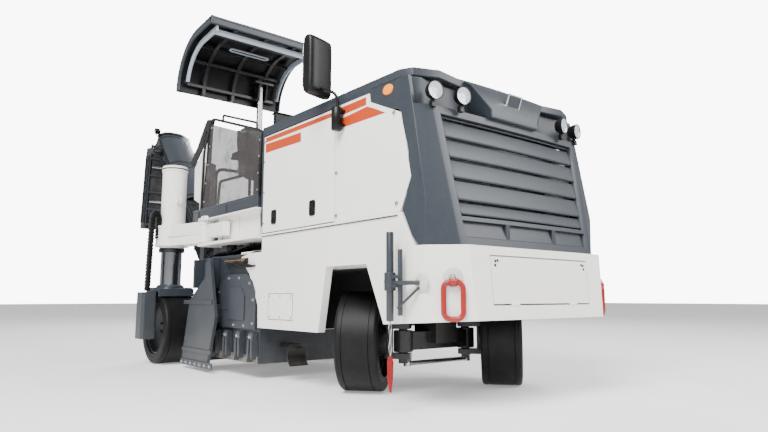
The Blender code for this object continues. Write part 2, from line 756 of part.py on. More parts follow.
def edge_protectors():
    """Sliding side plates that ride on the road beside the drum."""
    for side, name, inner in ((-1, "right", protector_right), (1, "left", protector_left)):
        outer = inner + side * protector_thickness
        low, high = min(inner, outer), max(inner, outer)
        outline = [(front_axle_x + x, z) for x, z in protector_outline]
        keep(plate(f"edge_protector_{name}", outline, "y", low, high), grey_paint)


def scraper():
    """The blade behind the drum, sliding on the box's rear wall."""
    rear = box_rear - run_gap
    obj = box("scraper_blade", (rear - scraper_thickness, drum_right + 0.01, 0.05),
              (rear, drum_right + drum_length - 0.01, 0.40))
    return obj


# ---------------------------------------------------------------- rear legs
def leg(name, centre, side):
    """The steel tube that slides in its sleeve, with the fork over the wheel."""
    x, y = centre
    obj = cylinder(f"rear_leg_{name}", (x, y, fork_top - 0.01), (x, y, 1.45), leg_radius, 32)
    obj = join(obj, box("fork", (x - 0.17, y - 0.17, fork_bottom), (x + 0.17, y + 0.17, fork_top)))
    cheek_in = y - side * (tyre_width / 2 + 0.012)
    cheek_out = y - side * (tyre_width / 2 + 0.04)
    low, high = min(cheek_in, cheek_out), max(cheek_in, cheek_out)
    outline = [(x - 0.12, fork_bottom + 0.01), (x + 0.12, fork_bottom + 0.01), (x + 0.07, tyre_radius - 0.08),
               (x - 0.07, tyre_radius - 0.08)]
    obj = join(obj, plate("cheek", outline, "y", low, high))
    stub_end = y - side * (0.125 - rim_width / 2 + seat_gap)
    obj = join(obj, cylinder("motor", (x, (low + high) / 2, tyre_radius), (x, stub_end, tyre_radius),
                             hub_motor_radius))
    guard_in = y + side * (tyre_width / 2 + 0.012)
    guard_out = y + side * (tyre_width / 2 + 0.145)
    low, high = min(guard_in, guard_out), max(guard_in, guard_out)
    outline = [(x - 0.08, fork_top - 0.001), (x + 0.08, fork_top - 0.001), (x + 0.08, 0.30),
               (x + 0.03, 0.22), (x - 0.08, 0.22)]
    guard = plate("guard", outline, "y", low, high)
    guard = cut(guard, box("hose_room", (x - 0.2, low + 0.012, 0.1), (x + 0.065, high - 0.012, 0.66)))
    root = box("guard_root", (x - 0.08, min(y, guard_out), fork_top - 0.02),
               (x + 0.08, max(y, guard_out), fork_top))
    obj = join(obj, root, guard)
    return origin_at(obj, (x, y, fork_top))


def sleeve(name, centre):
    """The painted outer tube with its cap."""
    x, y = centre
    obj = cylinder(name, (x, y, sleeve_bottom), (x, y, sleeve_top), sleeve_radius, 72)
    obj = cut(obj, cylinder("bore", (x, y, sleeve_bottom - 0.1), (x, y, sleeve_top - 0.03),
                            sleeve_bore, 32))
    return obj


def rear_legs():
    """Right leg on its swing arm, left leg on the frame."""
    right = (rear_axle_x, -rear_wheel_y)
    left = (rear_axle_x, rear_wheel_y)
    wheel("rear_right", (*right, tyre_radius), Vector((0, -1, 0)))
    wheel("rear_left", (*left, tyre_radius), Vector((0, 1, 0)))
    keep(leg("right", right, -1), grey_paint)
    keep(leg("left", left, 1), grey_paint)
    right_sleeve = sleeve("rear_column_right", right)
    keep(origin_at(right_sleeve, (*right, arm_top)), white_paint)
    left_sleeve = sleeve("rear_column_left", left)
    lug = box("lug", (left[0] - 0.08, left[1] - sleeve_radius - 0.02 + seat_gap, 1.10),
              (left[0] + 0.08, left[1] - sleeve_radius + 0.03, deck_top - 0.02))
    inside = cylinder("inside", (*left, 1.0), (*left, 1.3), sleeve_bore, 32)
    lug = cut(lug, inside)
    keep(join(left_sleeve, lug), white_paint)
    keep(swing_arm(right), white_paint)
    keep(swing_bracket(), white_paint)


def swing_arm(column):
    """The arm between the pivot and the column's collar."""
    x, y = column
    obj = plate("swing_arm", [(pivot_x - 0.02, pivot_y + 0.05), (pivot_x - 0.02, pivot_y - 0.05),
                              (x + 0.02, y - 0.10), (x + 0.02, y + 0.10)], "z", arm_bottom, arm_top)
    collar = cylinder("collar", (x, y, arm_bottom), (x, y, arm_top), sleeve_radius + 0.035, 32)
    knuckle = cylinder("knuckle", (pivot_x, pivot_y, arm_bottom), (pivot_x, pivot_y, arm_top), 0.062)
    obj = join(obj, collar, knuckle)
    bore = cylinder("bore", (x, y, 1.0), (x, y, 1.5), sleeve_radius + pin_gap, 72)
    pin = cylinder("pin", (pivot_x, pivot_y, 1.0), (pivot_x, pivot_y, 1.5), pivot_radius + pin_gap)
    return origin_at(cut(obj, bore, pin), (pivot_x, pivot_y, arm_bottom))


def swing_bracket():
    """The fixed bracket plates above and below the arm's pivot, with the pin."""
    low_plate = plate("swing_bracket", [(pivot_x - 0.06, pivot_y - 0.06), (pivot_x + 0.06, pivot_y - 0.07),
                                        (pivot_x + 0.98, -0.79), (pivot_x + 0.98, -deck_half_width - seat_gap),
                                        (pivot_x - 0.06, -deck_half_width - seat_gap)], "z",
                      arm_bottom - 0.03, arm_bottom - 0.005)
    high_plate = plate("upper", [(pivot_x - 0.06, pivot_y - 0.06), (pivot_x + 0.06, pivot_y - 0.07),
                                 (pivot_x + 0.28, -0.62), (pivot_x + 0.28, -0.60),
                                 (pivot_x - 0.06, -0.60)], "z", arm_top + 0.005, arm_top + 0.012)
    web = box("web", (pivot_x + 0.22, -0.77, arm_bottom - 0.02), (pivot_x + 0.98, -0.745, arm_top + 0.01))
    tie = box("tie", (pivot_x + 0.22, -0.77, arm_top - 0.01), (pivot_x + 0.28, -0.60, arm_top + 0.012))
    pin = cylinder("pin", (pivot_x, pivot_y, arm_bottom - 0.02), (pivot_x, pivot_y, arm_top + 0.012), pivot_radius)
    return join(low_plate, web, tie, high_plate, pin)


# ---------------------------------------------------------------- conveyor
def along_conveyor(distance, lift=0.0):
    """A point on the lower section, along it and above its centre line."""
    return Vector((slew_x - math.cos(conveyor_angle) * distance + math.sin(conveyor_angle) * lift,
                   conveyor_y,
                   raise_z + math.sin(conveyor_angle) * distance + math.cos(conveyor_angle) * lift))


def section(name, start, angle, length, half_width, depth, back=0.0, lug_end=-1):
    """A trough frame of side cheeks, cross sheet, end rollers and fold lugs."""
    wall = cheek_wall
    obj = box(name, (-length, -half_width, -depth / 2), (back, half_width, depth / 2))
    inner_up = box("trough", (-length - 0.1, -half_width + wall, -0.01), (back + 0.1, half_width - wall, depth))
    inner_down = box("under", (-length - 0.1, -half_width + wall, -depth), (back + 0.1, half_width - wall, -0.022))
    obj = cut(obj, inner_up, inner_down)
    reach = roller_radius * 2 + 0.06
    for low, high in ((-length - 0.1, -length + reach), (back - reach, back + 0.1)):
        obj = cut(obj, box("mouth", (low, -half_width + wall, -depth), (high, half_width - wall, depth)))
    inset = belt_inset + 0.014 + seat_gap + roller_radius
    for x in (-length + inset, back - inset):
        obj = join(obj, cylinder("roller", (x, -half_width + wall / 2, 0), (x, half_width - wall / 2, 0),
                                 roller_radius, 20))
    pin_x = -length - fold_ahead if lug_end < 0 else back + fold_ahead
    pin_z = -depth / 2 - fold_drop
    for side in (-1, 1):
        ends = sorted((side * (half_width - 0.001), side * (half_width - wall + 0.001)))
        lug = [(pin_x - lug_end * 0.14, -depth / 2 + 0.02), (pin_x - lug_end * 0.02, -depth / 2 + 0.02),
               (pin_x + lug_end * 0.026, pin_z + 0.012), (pin_x + lug_end * 0.026, pin_z - 0.026),
               (pin_x - lug_end * 0.026, pin_z - 0.026)]
        obj = join(obj, plate("lug", lug, "y", *ends))
    reach = conveyor_half_width + upper_extra + 0.01
    if lug_end < 0:
        obj = join(obj, cylinder("fold_pin", (pin_x, -reach, pin_z), (pin_x, reach, pin_z), 0.015, 16))
    else:
        obj = cut(obj, cylinder("fold_bore", (pin_x, -reach - 0.1, pin_z), (pin_x, reach + 0.1, pin_z),
                                0.015 + pin_gap, 16))
    place = Matrix.Translation(start) @ Matrix.Rotation(angle, 4, "Y")
    obj.data.transform(place)
    return obj


def belt(name, start, angle, length, half_width, depth, back=0.0):
    """The belt as a flat loop round the cross sheet and both rollers."""
    length -= belt_inset
    back -= belt_inset
    outer = depth / 2 - 0.01
    points = [(back - outer, -outer), (back, -outer * 0.4), (back, outer * 0.4), (back - outer, outer),
              (-length + outer, outer), (-length, outer * 0.4), (-length, -outer * 0.4), (-length + outer, -outer)]
    obj = plate(name, points, "y", -half_width, half_width)
    hole = [(x * 1.0, z) for x, z in ((back - outer, -outer + 0.012), (back - 0.014, -outer * 0.4),
                                     (back - 0.014, outer * 0.4), (back - outer, outer - 0.012),
                                     (-length + outer, outer - 0.012), (-length + 0.014, outer * 0.4),
                                     (-length + 0.014, -outer * 0.4), (-length + outer, -outer + 0.012))]
    obj = cut(obj, plate("inside", hole, "y", -half_width - 0.1, half_width + 0.1))
    obj.data.transform(Matrix.Translation(start) @ Matrix.Rotation(angle, 4, "Y"))
    return obj


def conveyor():
    """Turret, lower section, folded upper section and their belts."""
    pivot = Vector((slew_x, conveyor_y, raise_z))
    plate_z = carrier_bottom - run_gap
    cheek_y = conveyor_half_width + 0.025
    turret = box("conveyor_turret", (slew_x - 0.07, conveyor_y - cheek_y - 0.015, plate_z - 0.03),
                 (slew_x + 0.07, conveyor_y + cheek_y + 0.015, plate_z))
    for side in (-1, 1):
        turret = join(turret, box("cheek", (slew_x - 0.05, conveyor_y + side * cheek_y - 0.015, raise_z - 0.05),
                                  (slew_x + 0.05, conveyor_y + side * cheek_y + 0.015, plate_z - 0.01)))
        turret = join(turret, cylinder("pin", (slew_x, conveyor_y + side * (cheek_y - 0.01), raise_z),
                                       (slew_x, conveyor_y + side * (conveyor_half_width + 0.0005), raise_z), 0.03))
    turret = join(turret, cylinder("king_pin", (slew_x, conveyor_y, plate_z - 0.01),
                                   (slew_x, conveyor_y, carrier_top + 0.02), turret_pin_radius),
                  cylinder("cap", (slew_x, conveyor_y, carrier_top + seat_gap),
                           (slew_x, conveyor_y, carrier_top + 0.02), 0.07))
    keep(origin_at(turret, (slew_x, conveyor_y, plate_z)), grey_paint)
    lower = section("conveyor_lower", pivot, conveyor_angle, lower_length, conveyor_half_width,
                    conveyor_depth, lower_ahead)
    keep(origin_at(lower, pivot), grey_paint)
    keep(belt("belt_lower", pivot, conveyor_angle, lower_length, conveyor_half_width - 0.03,
              conveyor_depth, lower_ahead), rubber)
    fold = along_conveyor(lower_length + fold_ahead, -conveyor_depth / 2 - fold_drop)
    spin = Matrix.Rotation(-fold_angle, 3, "Y")
    start = fold + spin @ (along_conveyor(lower_length + 2 * fold_ahead) - fold)
    folded = conveyor_angle - fold_angle
    upper_half = conveyor_half_width + upper_extra
    upper = section("conveyor_upper", start, folded, upper_length, upper_half, conveyor_depth, lug_end=1)
    keep(upper, grey_paint)
    keep(belt("belt_upper", start, folded, upper_length, upper_half - 0.03, conveyor_depth), rubber)


# ---------------------------------------------------------------- platform and canopy
def platform():
    """The operator's tray with rims, rails, the weather panel, console and seat."""
    low = platform_bottom
    tray = box("operator_platform", (platform_rear, -platform_half_width, low),
               (platform_front, platform_half_width, platform_rim_top))
    tray = cut(tray, box("well", (platform_rear + 0.02, -platform_half_width + 0.02, low + platform_floor),
                         (platform_front - 0.02, platform_half_width + 0.1, 2.0)))
    keep(tray, grey_paint)
    subframe = box("platform_subframe", (platform_rear + 0.10, -0.45, deck_top + seat_gap),
                   (platform_front - 0.25, 0.45, deck_top + 0.04))
    for x in (platform_rear + 0.20, platform_front - 0.40):
        for y in (-0.38, 0.38):
            subframe = join(subframe, cylinder("mount", (x, y, deck_top + 0.03),
                                               (x, y, platform_bottom - seat_gap), 0.05, 16))
    keep(subframe, black_paint)
    glass = [(platform_front - 0.01, platform_rim_top + seat_gap), (platform_front - 0.01, 1.89),
             (platform_front - 0.96, 2.20), (platform_front - 1.08, platform_rim_top + seat_gap)]
    keep(plate("weather_panel", glass, "y", -platform_half_width + 0.002, -platform_half_width + 0.010),
         smoked_glass)
    floor = low + platform_floor
    console = box("control_console", (platform_front - 0.22, -0.55, floor + seat_gap),
                  (platform_front - 0.06, 0.25, floor + 0.62))
    keep(console, black_paint)
    seat_x = platform_front - 0.95
    stand = cylinder("seat_stand", (seat_x, -0.25, floor + seat_gap), (seat_x, -0.25, floor + 0.42), 0.06)
    keep(stand, black_paint)
    seat = box("operator_seat", (seat_x - 0.22, -0.48, floor + 0.42 + seat_gap), (seat_x + 0.22, -0.02, floor + 0.52))
    seat = join(seat, box("back", (seat_x - 0.24, -0.48, floor + 0.44), (seat_x - 0.16, -0.02, floor + 0.95)))
    keep(origin_at(seat, (seat_x, -0.25, floor + 0.42)), seat_vinyl)


def canopy():
    """The curved roof shell on its telescopic mast."""
    length = canopy_front - canopy_rear
    profile = []
    for step in range(9):
        angle = math.pi / 2 * step / 8
        x = canopy_rear + length * 0.62 * (1 - math.cos(angle))
        z = canopy_low + (canopy_high - canopy_low - 0.02) * math.sin(angle)
        profile.append((x, z))
    profile.append((canopy_front, canopy_high))
    inner = [(x + canopy_wall * 0.8, z - canopy_wall * (0.3 + 0.7 * (index / 9)))
             for index, (x, z) in enumerate(profile)]
    inner[-1] = (canopy_front, canopy_high - canopy_wall)
    outline = profile + list(reversed(inner))
    shell = plate("canopy", outline, "y", canopy_y - canopy_half_width, canopy_y + canopy_half_width)
    keep(shell, grey_paint)
    foot = carrier_top + seat_gap
    post = cylinder("canopy_post", (post_x, post_y, foot), (post_x, post_y, 2.2), post_radius, 20)
    post = cut(post, cylinder("bore", (post_x, post_y, foot + 0.03), (post_x, post_y, 2.3),
                              mast_radius + pin_gap, 20))
    keep(post, grey_paint)
    mast = cylinder("canopy_mast", (post_x, post_y, 1.90), (post_x, post_y, canopy_high + 0.1),
                    mast_radius, 20)
    above = [(x, z - seat_gap) for x, z in inner] + [(canopy_front, 4.0), (canopy_rear - 0.5, 4.0),
                                                    (canopy_rear - 0.5, canopy_low)]
    keep(cut(mast, plate("above", above, "y", -0.3, 0.3)), bare_steel)


# ---------------------------------------------------------------- build everything
front_wheels()
keep(chassis(), white_paint)
keep(front_hatch(), white_paint)
tie_down_eyes()
side_panels()
keep(hood(), grey_paint)
keep(grille(), grey_paint)
grille_corners()
engine_room()
lamps()
mirror()
keep(rear_frame(), grey_paint)
keep(drum_box(), grey_paint)
keep(milling_drum(), bare_steel)
keep(drum_drive(), grey_paint)
edge_protectors()
keep(scraper(), grey_paint)
rear_legs()
conveyor()
platform()
canopy()
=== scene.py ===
# %% [markdown]
# # A compact cold planer, dressed over its working frame
# The machine mills a strip of asphalt with a drum under its rear deck and throws the
# crumbs onto a belt that folds up behind.  Its solids, joints and sizes are already
# settled in the frame.  This lesson puts the paint, rubber, lamps, hoses and small
# fittings on them, one piece at a time.

# %% Load the frame
import math

import bmesh
import bpy
import numpy as np
from mathutils import Matrix, Vector


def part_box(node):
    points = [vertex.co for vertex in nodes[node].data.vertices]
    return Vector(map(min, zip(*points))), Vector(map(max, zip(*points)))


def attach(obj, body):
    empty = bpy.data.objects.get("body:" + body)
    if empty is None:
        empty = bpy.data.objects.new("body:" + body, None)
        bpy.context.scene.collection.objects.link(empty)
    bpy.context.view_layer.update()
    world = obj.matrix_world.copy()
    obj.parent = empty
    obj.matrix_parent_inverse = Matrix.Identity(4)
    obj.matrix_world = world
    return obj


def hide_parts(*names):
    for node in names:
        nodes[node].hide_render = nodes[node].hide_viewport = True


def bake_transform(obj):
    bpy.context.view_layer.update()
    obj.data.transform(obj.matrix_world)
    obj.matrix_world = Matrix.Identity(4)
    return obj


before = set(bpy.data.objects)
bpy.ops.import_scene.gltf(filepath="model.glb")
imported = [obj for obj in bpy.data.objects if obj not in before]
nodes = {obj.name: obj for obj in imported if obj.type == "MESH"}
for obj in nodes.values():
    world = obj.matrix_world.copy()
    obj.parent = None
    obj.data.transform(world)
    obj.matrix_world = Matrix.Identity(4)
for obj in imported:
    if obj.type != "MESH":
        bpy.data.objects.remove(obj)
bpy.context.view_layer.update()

# %% [markdown]
# ## Camera
# A person crouching off the front right corner sees the nose and the whole right side.
# The lens is a mild wide angle, so near wheels look large against the far conveyor.

# %% Camera
axle_x, wheelbase = 2.05, 2.79  # the front axle's place and its distance to the rear wheels
rear_axle_x = axle_x - wheelbase
eye = Vector((axle_x + 3.14, -3.046, 0.62))
heading = math.radians(39.4)
pitch = math.radians(7.56)
level = math.cos(pitch)
looking = Vector((-math.cos(heading) * level, math.sin(heading) * level, math.sin(pitch)))
lens = bpy.data.cameras.new("camera")
lens.sensor_width = 36.0
lens.lens = 28.67
lens.clip_start = 0.05
camera = bpy.data.objects.new("camera", lens)
camera.location = eye
camera.rotation_euler = looking.to_track_quat("-Z", "Y").to_euler()
bpy.context.scene.collection.objects.link(camera)
bpy.context.scene.camera = camera
print("camera at", tuple(round(v, 2) for v in eye))

# %% [markdown]
# ## Floor and light
# A pale matt floor catches one soft shadow.  A large lamp in front and to the right acts as an
# overcast sky, two more fill the left and the back, and a grey-white world keeps the dark paint
# readable.  Where the camera looks straight at the sky, a brighter one stands in for it, so the
# backdrop is white although the light on the machine is modest.

# %% Floor and light
floor_mesh = bpy.data.meshes.new("floor")
far = 60
floor_mesh.from_pydata([(-far, -far, 0), (far, -far, 0), (far, far, 0), (-far, far, 0)], [],
                       [(0, 1, 2, 3)])
floor = bpy.data.objects.new("floor", floor_mesh)
bpy.context.scene.collection.objects.link(floor)


def soft_lamp(name, place, aim, size, power):
    """A square area lamp at a place, turned to face a point."""
    data = bpy.data.lights.new(name, "AREA")
    data.energy = power
    data.size = size
    lamp = bpy.data.objects.new(name, data)
    lamp.location = place
    lamp.rotation_euler = (Vector(aim) - Vector(place)).to_track_quat("-Z", "Y").to_euler()
    bpy.context.scene.collection.objects.link(lamp)


soft_lamp("sky_front", (5.0, -6.5, 8.0), (0.5, 0, 1.0), 5.0, 2100)
soft_lamp("sky_left", (7.5, 4.0, 5.5), (0.5, 0, 1.0), 5.0, 620)
soft_lamp("sky_back", (-7.0, 6.0, 7.5), (-0.5, 0, 1.2), 5.0, 700)
world = bpy.data.worlds.new("pale_sky")
bpy.context.scene.world = world
world.use_nodes = True
sky_nodes, join = world.node_tree.nodes, world.node_tree.links.new
lighting, backdrop = sky_nodes["Background"], sky_nodes.new("ShaderNodeBackground")
lighting.inputs["Color"].default_value = (0.97, 0.985, 1.0, 1)
lighting.inputs["Strength"].default_value = 0.60
backdrop.inputs["Color"].default_value = (1.0, 1.0, 1.0, 1)
backdrop.inputs["Strength"].default_value = 9.0
seen = sky_nodes.new("ShaderNodeLightPath")
either = sky_nodes.new("ShaderNodeMixShader")
join(seen.outputs["Is Camera Ray"], either.inputs[0])
join(lighting.outputs[0], either.inputs[1])
join(backdrop.outputs[0], either.inputs[2])
join(either.outputs[0], sky_nodes["World Output"].inputs[0])
print("three lamps and a pale sky")

# %% [markdown]
# ## A small language for finishes
# Every finish here is arithmetic on a few patterns: noise for dust, cells for chips, a
# height for road dirt.  Wrapping a socket in a class lets that arithmetic be written as
# plain expressions, and each operator adds its own Math node.


# %% Sockets that can be added and multiplied
class Wire:
    """An output socket whose operators add Math nodes."""

    def __init__(self, finish, socket):
        self.finish = finish
        self.socket = socket

    def math(self, operation, first, second=0.0):
        return self.finish.add("ShaderNodeMath", {"operation": operation}, {0: first, 1: second})

    def __add__(self, other):
        return self.math("ADD", self, other)

    __radd__ = __add__

    def __mul__(self, other):
        return self.math("MULTIPLY", self, other)

    __rmul__ = __mul__

    def __sub__(self, other):
        return self.math("SUBTRACT", self, other)

    def __rsub__(self, other):
        return self.math("SUBTRACT", other, self)

    def __pow__(self, other):
        return self.math("POWER", self, other)

    def __abs__(self):
        return self.math("ABSOLUTE", self)

    def least(self, other):
        return self.math("MINIMUM", self, other)

    def most(self, other):
        return self.math("MAXIMUM", self, other)

    def sine(self):
        return self.math("SINE", self)

    def between(self, low, high):
        """0 below low and 1 above high, with a smooth rise from one to the other."""
        return self.finish.add("ShaderNodeMapRange", {"interpolation_type": "SMOOTHSTEP", "clamp": True},
                               {"Value": self, "From Min": low, "From Max": high})


class Finish:
    """One material, built from patterns on the object's own coordinates."""

    def __init__(self, name, colour, roughness, metallic=0.0, **steady):
        self.material = bpy.data.materials.new(name)
        self.material.use_nodes = True
        self.tree = self.material.node_tree
        self.shader = self.tree.nodes["Principled BSDF"]
        self.put("Base Color", colour)
        self.put("Roughness", roughness)
        self.put("Metallic", metallic)
        for socket, value in steady.items():
            self.put(socket.replace("_", " "), value)
        self.place = self.add("ShaderNodeTexCoord", {}, {}, "Object")

    def add(self, kind, settings, values, output=0):
        """A node of a kind: its settings are made first, then its sockets are filled."""
        node = self.tree.nodes.new(kind)
        for setting, value in settings.items():
            setattr(node, setting, value)
        for socket, value in values.items():
            self.fill(node.inputs[socket], value)
        return Wire(self, node.outputs[output])

    def fill(self, socket, value):
        if isinstance(value, Wire):
            self.tree.links.new(value.socket, socket)
        elif isinstance(value, (tuple, list)):
            wanted = len(socket.default_value)
            socket.default_value = (*value, 1.0) if len(value) < wanted else value
        else:
            socket.default_value = value

    def put(self, socket, value):
        self.fill(self.shader.inputs[socket], value)

    def axis(self, which):
        """One coordinate of the point, 0 for X, 1 for Y and 2 for Z."""
        return self.add("ShaderNodeSeparateXYZ", {}, {0: self.place}, which)

    def stretched(self, x, y, z):
        """The point with each coordinate multiplied, to draw a pattern out along an axis."""
        return self.add("ShaderNodeVectorMath", {"operation": "MULTIPLY"}, {0: self.place, 1: (x, y, z)})

    def noise(self, scale, detail=4.0, rough=0.55, at=None):
        return self.add("ShaderNodeTexNoise", {}, {"Vector": at or self.place, "Scale": scale,
                                                   "Detail": detail, "Roughness": rough})

    def cells(self, scale, at=None):
        return self.add("ShaderNodeTexVoronoi", {}, {"Vector": at or self.place, "Scale": scale})

    def blend(self, mask, first, second):
        """First where the mask is 0, second where it is 1, as colours."""
        node = self.tree.nodes.new("ShaderNodeMix")
        node.data_type = "RGBA"
        self.fill(node.inputs[0], mask)
        self.fill(node.inputs[6], first)
        self.fill(node.inputs[7], second)
        return Wire(self, node.outputs[2])

    def bump(self, height, depth, strength=1.0):
        self.put("Normal", self.add("ShaderNodeBump", {}, {"Height": height, "Strength": strength,
                                                           "Distance": depth}))


finishes = {}
print("finish language ready")

# %% [markdown]
# ## Paint that has worked on the road
# The sheet metal is sprayed enamel.  It has a faint orange-peel skin, dust that gathers
# low down, rain runs below the edges, and tiny chips where stones strike.  Height above
# the ground drives the dust, so every panel gets dirtier towards the road together.


# %% Enamel
dust = (0.33, 0.29, 0.24)


def enamel(name, colour, roughness, dust_top=1.1, dust_amount=0.55, chips=0.5, under=(0.06, 0.055, 0.05)):
    """Sprayed enamel: colour, then runs, then dust by height, then chips to the primer."""
    paint = Finish(name, colour, roughness)
    height = paint.axis(2)
    cloud = paint.noise(3.1, 5.0)
    fine = paint.noise(38.0, 3.0)
    runs = paint.noise(9.0, 4.0, 0.6, paint.stretched(1.0, 1.0, 0.09)).between(0.52, 0.74)
    low = 1.0 - height.between(0.15, dust_top)
    grime = (low * (0.25 + 0.75 * cloud.between(0.35, 0.7)) + 0.16 * cloud.between(0.5, 0.8)) * dust_amount
    grime = (grime + dust_amount * (0.22 * runs + 0.15 * fine.between(0.45, 0.7))).least(0.9)
    spots = 1.0 - paint.cells(55.0).between(0.10, 0.16)
    struck = spots * paint.noise(2.3, 2.0).between(0.60, 0.66) * (0.25 + low) * chips
    tint = paint.blend(cloud.between(0.3, 0.7) * 0.12, colour, tuple(0.86 * c for c in colour))
    dirty = paint.blend(grime, tint, dust)
    paint.put("Base Color", paint.blend(struck.least(1.0), dirty, under))
    paint.put("Roughness", (roughness + 0.42 * grime + 0.25 * struck + 0.08 * fine).least(0.95))
    paint.bump(paint.noise(260.0, 1.0) * 0.35 - struck, 0.0012, 0.35)
    finishes[name] = paint
    return paint


enamel("white_enamel", (0.90, 0.885, 0.835), 0.24, 0.7, 0.07, 0.1)
enamel("body_enamel", (0.90, 0.885, 0.835), 0.22, 0.8, 0.10, 0.15)
enamel("dark_enamel", (0.024, 0.030, 0.039), 0.36, 0.9, 0.07, 0.1, (0.16, 0.15, 0.14))
enamel("black_enamel", (0.006, 0.006, 0.007), 0.34, 0.8, 0.05, 0.1, (0.14, 0.13, 0.12))
enamel("red_enamel", (0.30, 0.005, 0.003), 0.30, 0.8, 0.06, 0.2, (0.12, 0.10, 0.09))
enamel("amber_enamel", (0.85, 0.20, 0.02), 0.30, 0.8, 0.20)
print("enamels:", ", ".join(finishes))

# %% [markdown]
# ## The striped doors
# Two bands of orange run along each flank: a narrow one under the roof rail, and a
# broader one below it that ends in a point towards the nose.  A mask in the enamel would
# blur at the edges, so they are films of paint of their own: straight-edged outlines, half a
# millimetre thick, which ride on the door or the panel that they cross.

# %% Door enamel and stripe paint
enamel("striped_enamel", (0.90, 0.885, 0.835), 0.24, 0.7, 0.06, 0.05)
enamel("orange_enamel", (0.46, 0.042, 0.0004), 0.45, 0.8, 0.03, 0.05)
print("door finishes:", list(finishes)[-2:])

# %% [markdown]
# ## Steel, rubber and glass
# Ground leg tubes show fine rings, cast iron is grainy, solid rubber is scuffed pale where it
# meets the road, and the belt carries a trace of asphalt dust.


# %% Bare metal
def bare_metal(name, colour, roughness, ring=(0.0, 0.0, 1.0), rust=0.0):
    """Bare metal with fine lines across one direction and a little rust in patches."""
    steel = Finish(name, colour, roughness, 1.0)
    lines = steel.noise(60.0, 2.0, 0.6, steel.stretched(*(0.05 + 9.0 * r for r in ring)))
    patch = steel.noise(7.0, 5.0).between(0.52, 0.72) * rust
    dark = steel.blend(lines * 0.35, colour, tuple(0.55 * c for c in colour))
    steel.put("Base Color", steel.blend(patch, dark, (0.20, 0.095, 0.045)))
    steel.put("Metallic", 1.0 - patch)
    steel.put("Roughness", (roughness + 0.15 * lines + 0.4 * patch).least(0.95))
    steel.bump(lines + 0.5 * patch, 0.0006, 0.3)
    finishes[name] = steel
    return steel


bare_metal("ground_steel", (0.62, 0.63, 0.65), 0.20)
bare_metal("worn_steel", (0.36, 0.34, 0.31), 0.42, (1.0, 0.0, 0.3), 0.55)
bare_metal("cast_iron", (0.17, 0.17, 0.18), 0.55, (0.5, 0.5, 0.5), 0.25)
bare_metal("dull_alloy", (0.50, 0.50, 0.51), 0.40, (0.0, 1.0, 0.0))
bare_metal("bright_trim", (0.78, 0.78, 0.80), 0.14, (0.0, 0.0, 1.0))
bare_metal("lamp_bowl", (0.90, 0.90, 0.92), 0.08, (0.2, 0.2, 0.2))


# %% [markdown]
# Rubber and plastic share one recipe: a dark colour, a fine grain and a film of dust in its
# patches.  The smoked sheet and the lamp lenses let light through by their alpha.

# %% Rubber, plastic and glass
def rubbery(name, colour, roughness, dusty=0.5, low_dust=0.0):
    """Black rubber or plastic: mottled, with dust in the hollows of a fine grain."""
    gum = Finish(name, colour, roughness, 0.0, Specular_IOR_Level=0.22)
    patch = gum.noise(11.0, 5.0).between(0.40, 0.72)
    grain = gum.noise(150.0, 2.0)
    low = (1.0 - gum.axis(2).between(0.0, 0.25)) * low_dust
    film = (dusty * patch * (0.5 + grain) + low * (0.4 + 0.6 * patch)).least(0.85)
    gum.put("Base Color", gum.blend(film, colour, (0.20, 0.18, 0.155)))
    gum.put("Roughness", (roughness + 0.25 * film).least(0.95))
    gum.bump(grain, 0.0010, 0.35)
    finishes[name] = gum
    return gum


enamel("pale_frame", (0.36, 0.40, 0.47), 0.35, 1.0, 0.10, 0.2)
bare_metal("leg_steel", (0.30, 0.31, 0.33), 0.16, (0.0, 0.0, 1.0))
rubbery("solid_rubber", (0.0035, 0.0035, 0.004), 0.52, 0.015, 0.03)
rubbery("hose_rubber", (0.005, 0.005, 0.006), 0.36, 0.03)
rubbery("belt_rubber", (0.020, 0.020, 0.022), 0.60, 0.12)
rubbery("black_plastic", (0.005, 0.005, 0.006), 0.34, 0.02)
rubbery("white_plastic", (0.62, 0.62, 0.60), 0.40, 0.15)
rubbery("red_plastic", (0.24, 0.002, 0.002), 0.35, 0.12)
rubbery("amber_plastic", (0.95, 0.28, 0.02), 0.22, 0.08)

smoked = Finish("smoked_sheet", (0.10, 0.085, 0.080), 0.09, 0.0, IOR=1.49)
film = smoked.noise(5.0, 5.0).between(0.45, 0.8)
smoked.put("Base Color", smoked.blend(film * 0.25, (0.040, 0.034, 0.033), (0.16, 0.145, 0.135)))
smoked.put("Alpha", 0.72 + 0.14 * film)
smoked.put("Roughness", 0.09 + 0.30 * film)
finishes["smoked_sheet"] = smoked

clear = Finish("clear_lens", (0.80, 0.84, 0.88), 0.05, 0.0, IOR=1.5)
ribs = (clear.axis(1) * 900.0).sine()
clear.put("Alpha", 0.30 + 0.06 * ribs)
clear.bump(ribs, 0.0012, 0.5)
finishes["clear_lens"] = clear

silvered = Finish("silvered_glass", (0.80, 0.82, 0.85), 0.03, 1.0)
silvered.put("Roughness", 0.03 + 0.25 * silvered.noise(8.0, 5.0).between(0.55, 0.85))
finishes["silvered_glass"] = silvered

vinyl = Finish("seat_vinyl", (0.022, 0.022, 0.024), 0.48)
creases = vinyl.cells(210.0)
vinyl.bump(creases, 0.0015, 0.5)
vinyl.put("Roughness", 0.42 + 0.2 * vinyl.noise(9.0, 4.0))
vinyl.put("Base Color", vinyl.blend(vinyl.noise(6.0, 5.0).between(0.5, 0.8) * 0.4, (0.020, 0.020, 0.022),
                                    (0.10, 0.095, 0.085)))
finishes["seat_vinyl"] = vinyl

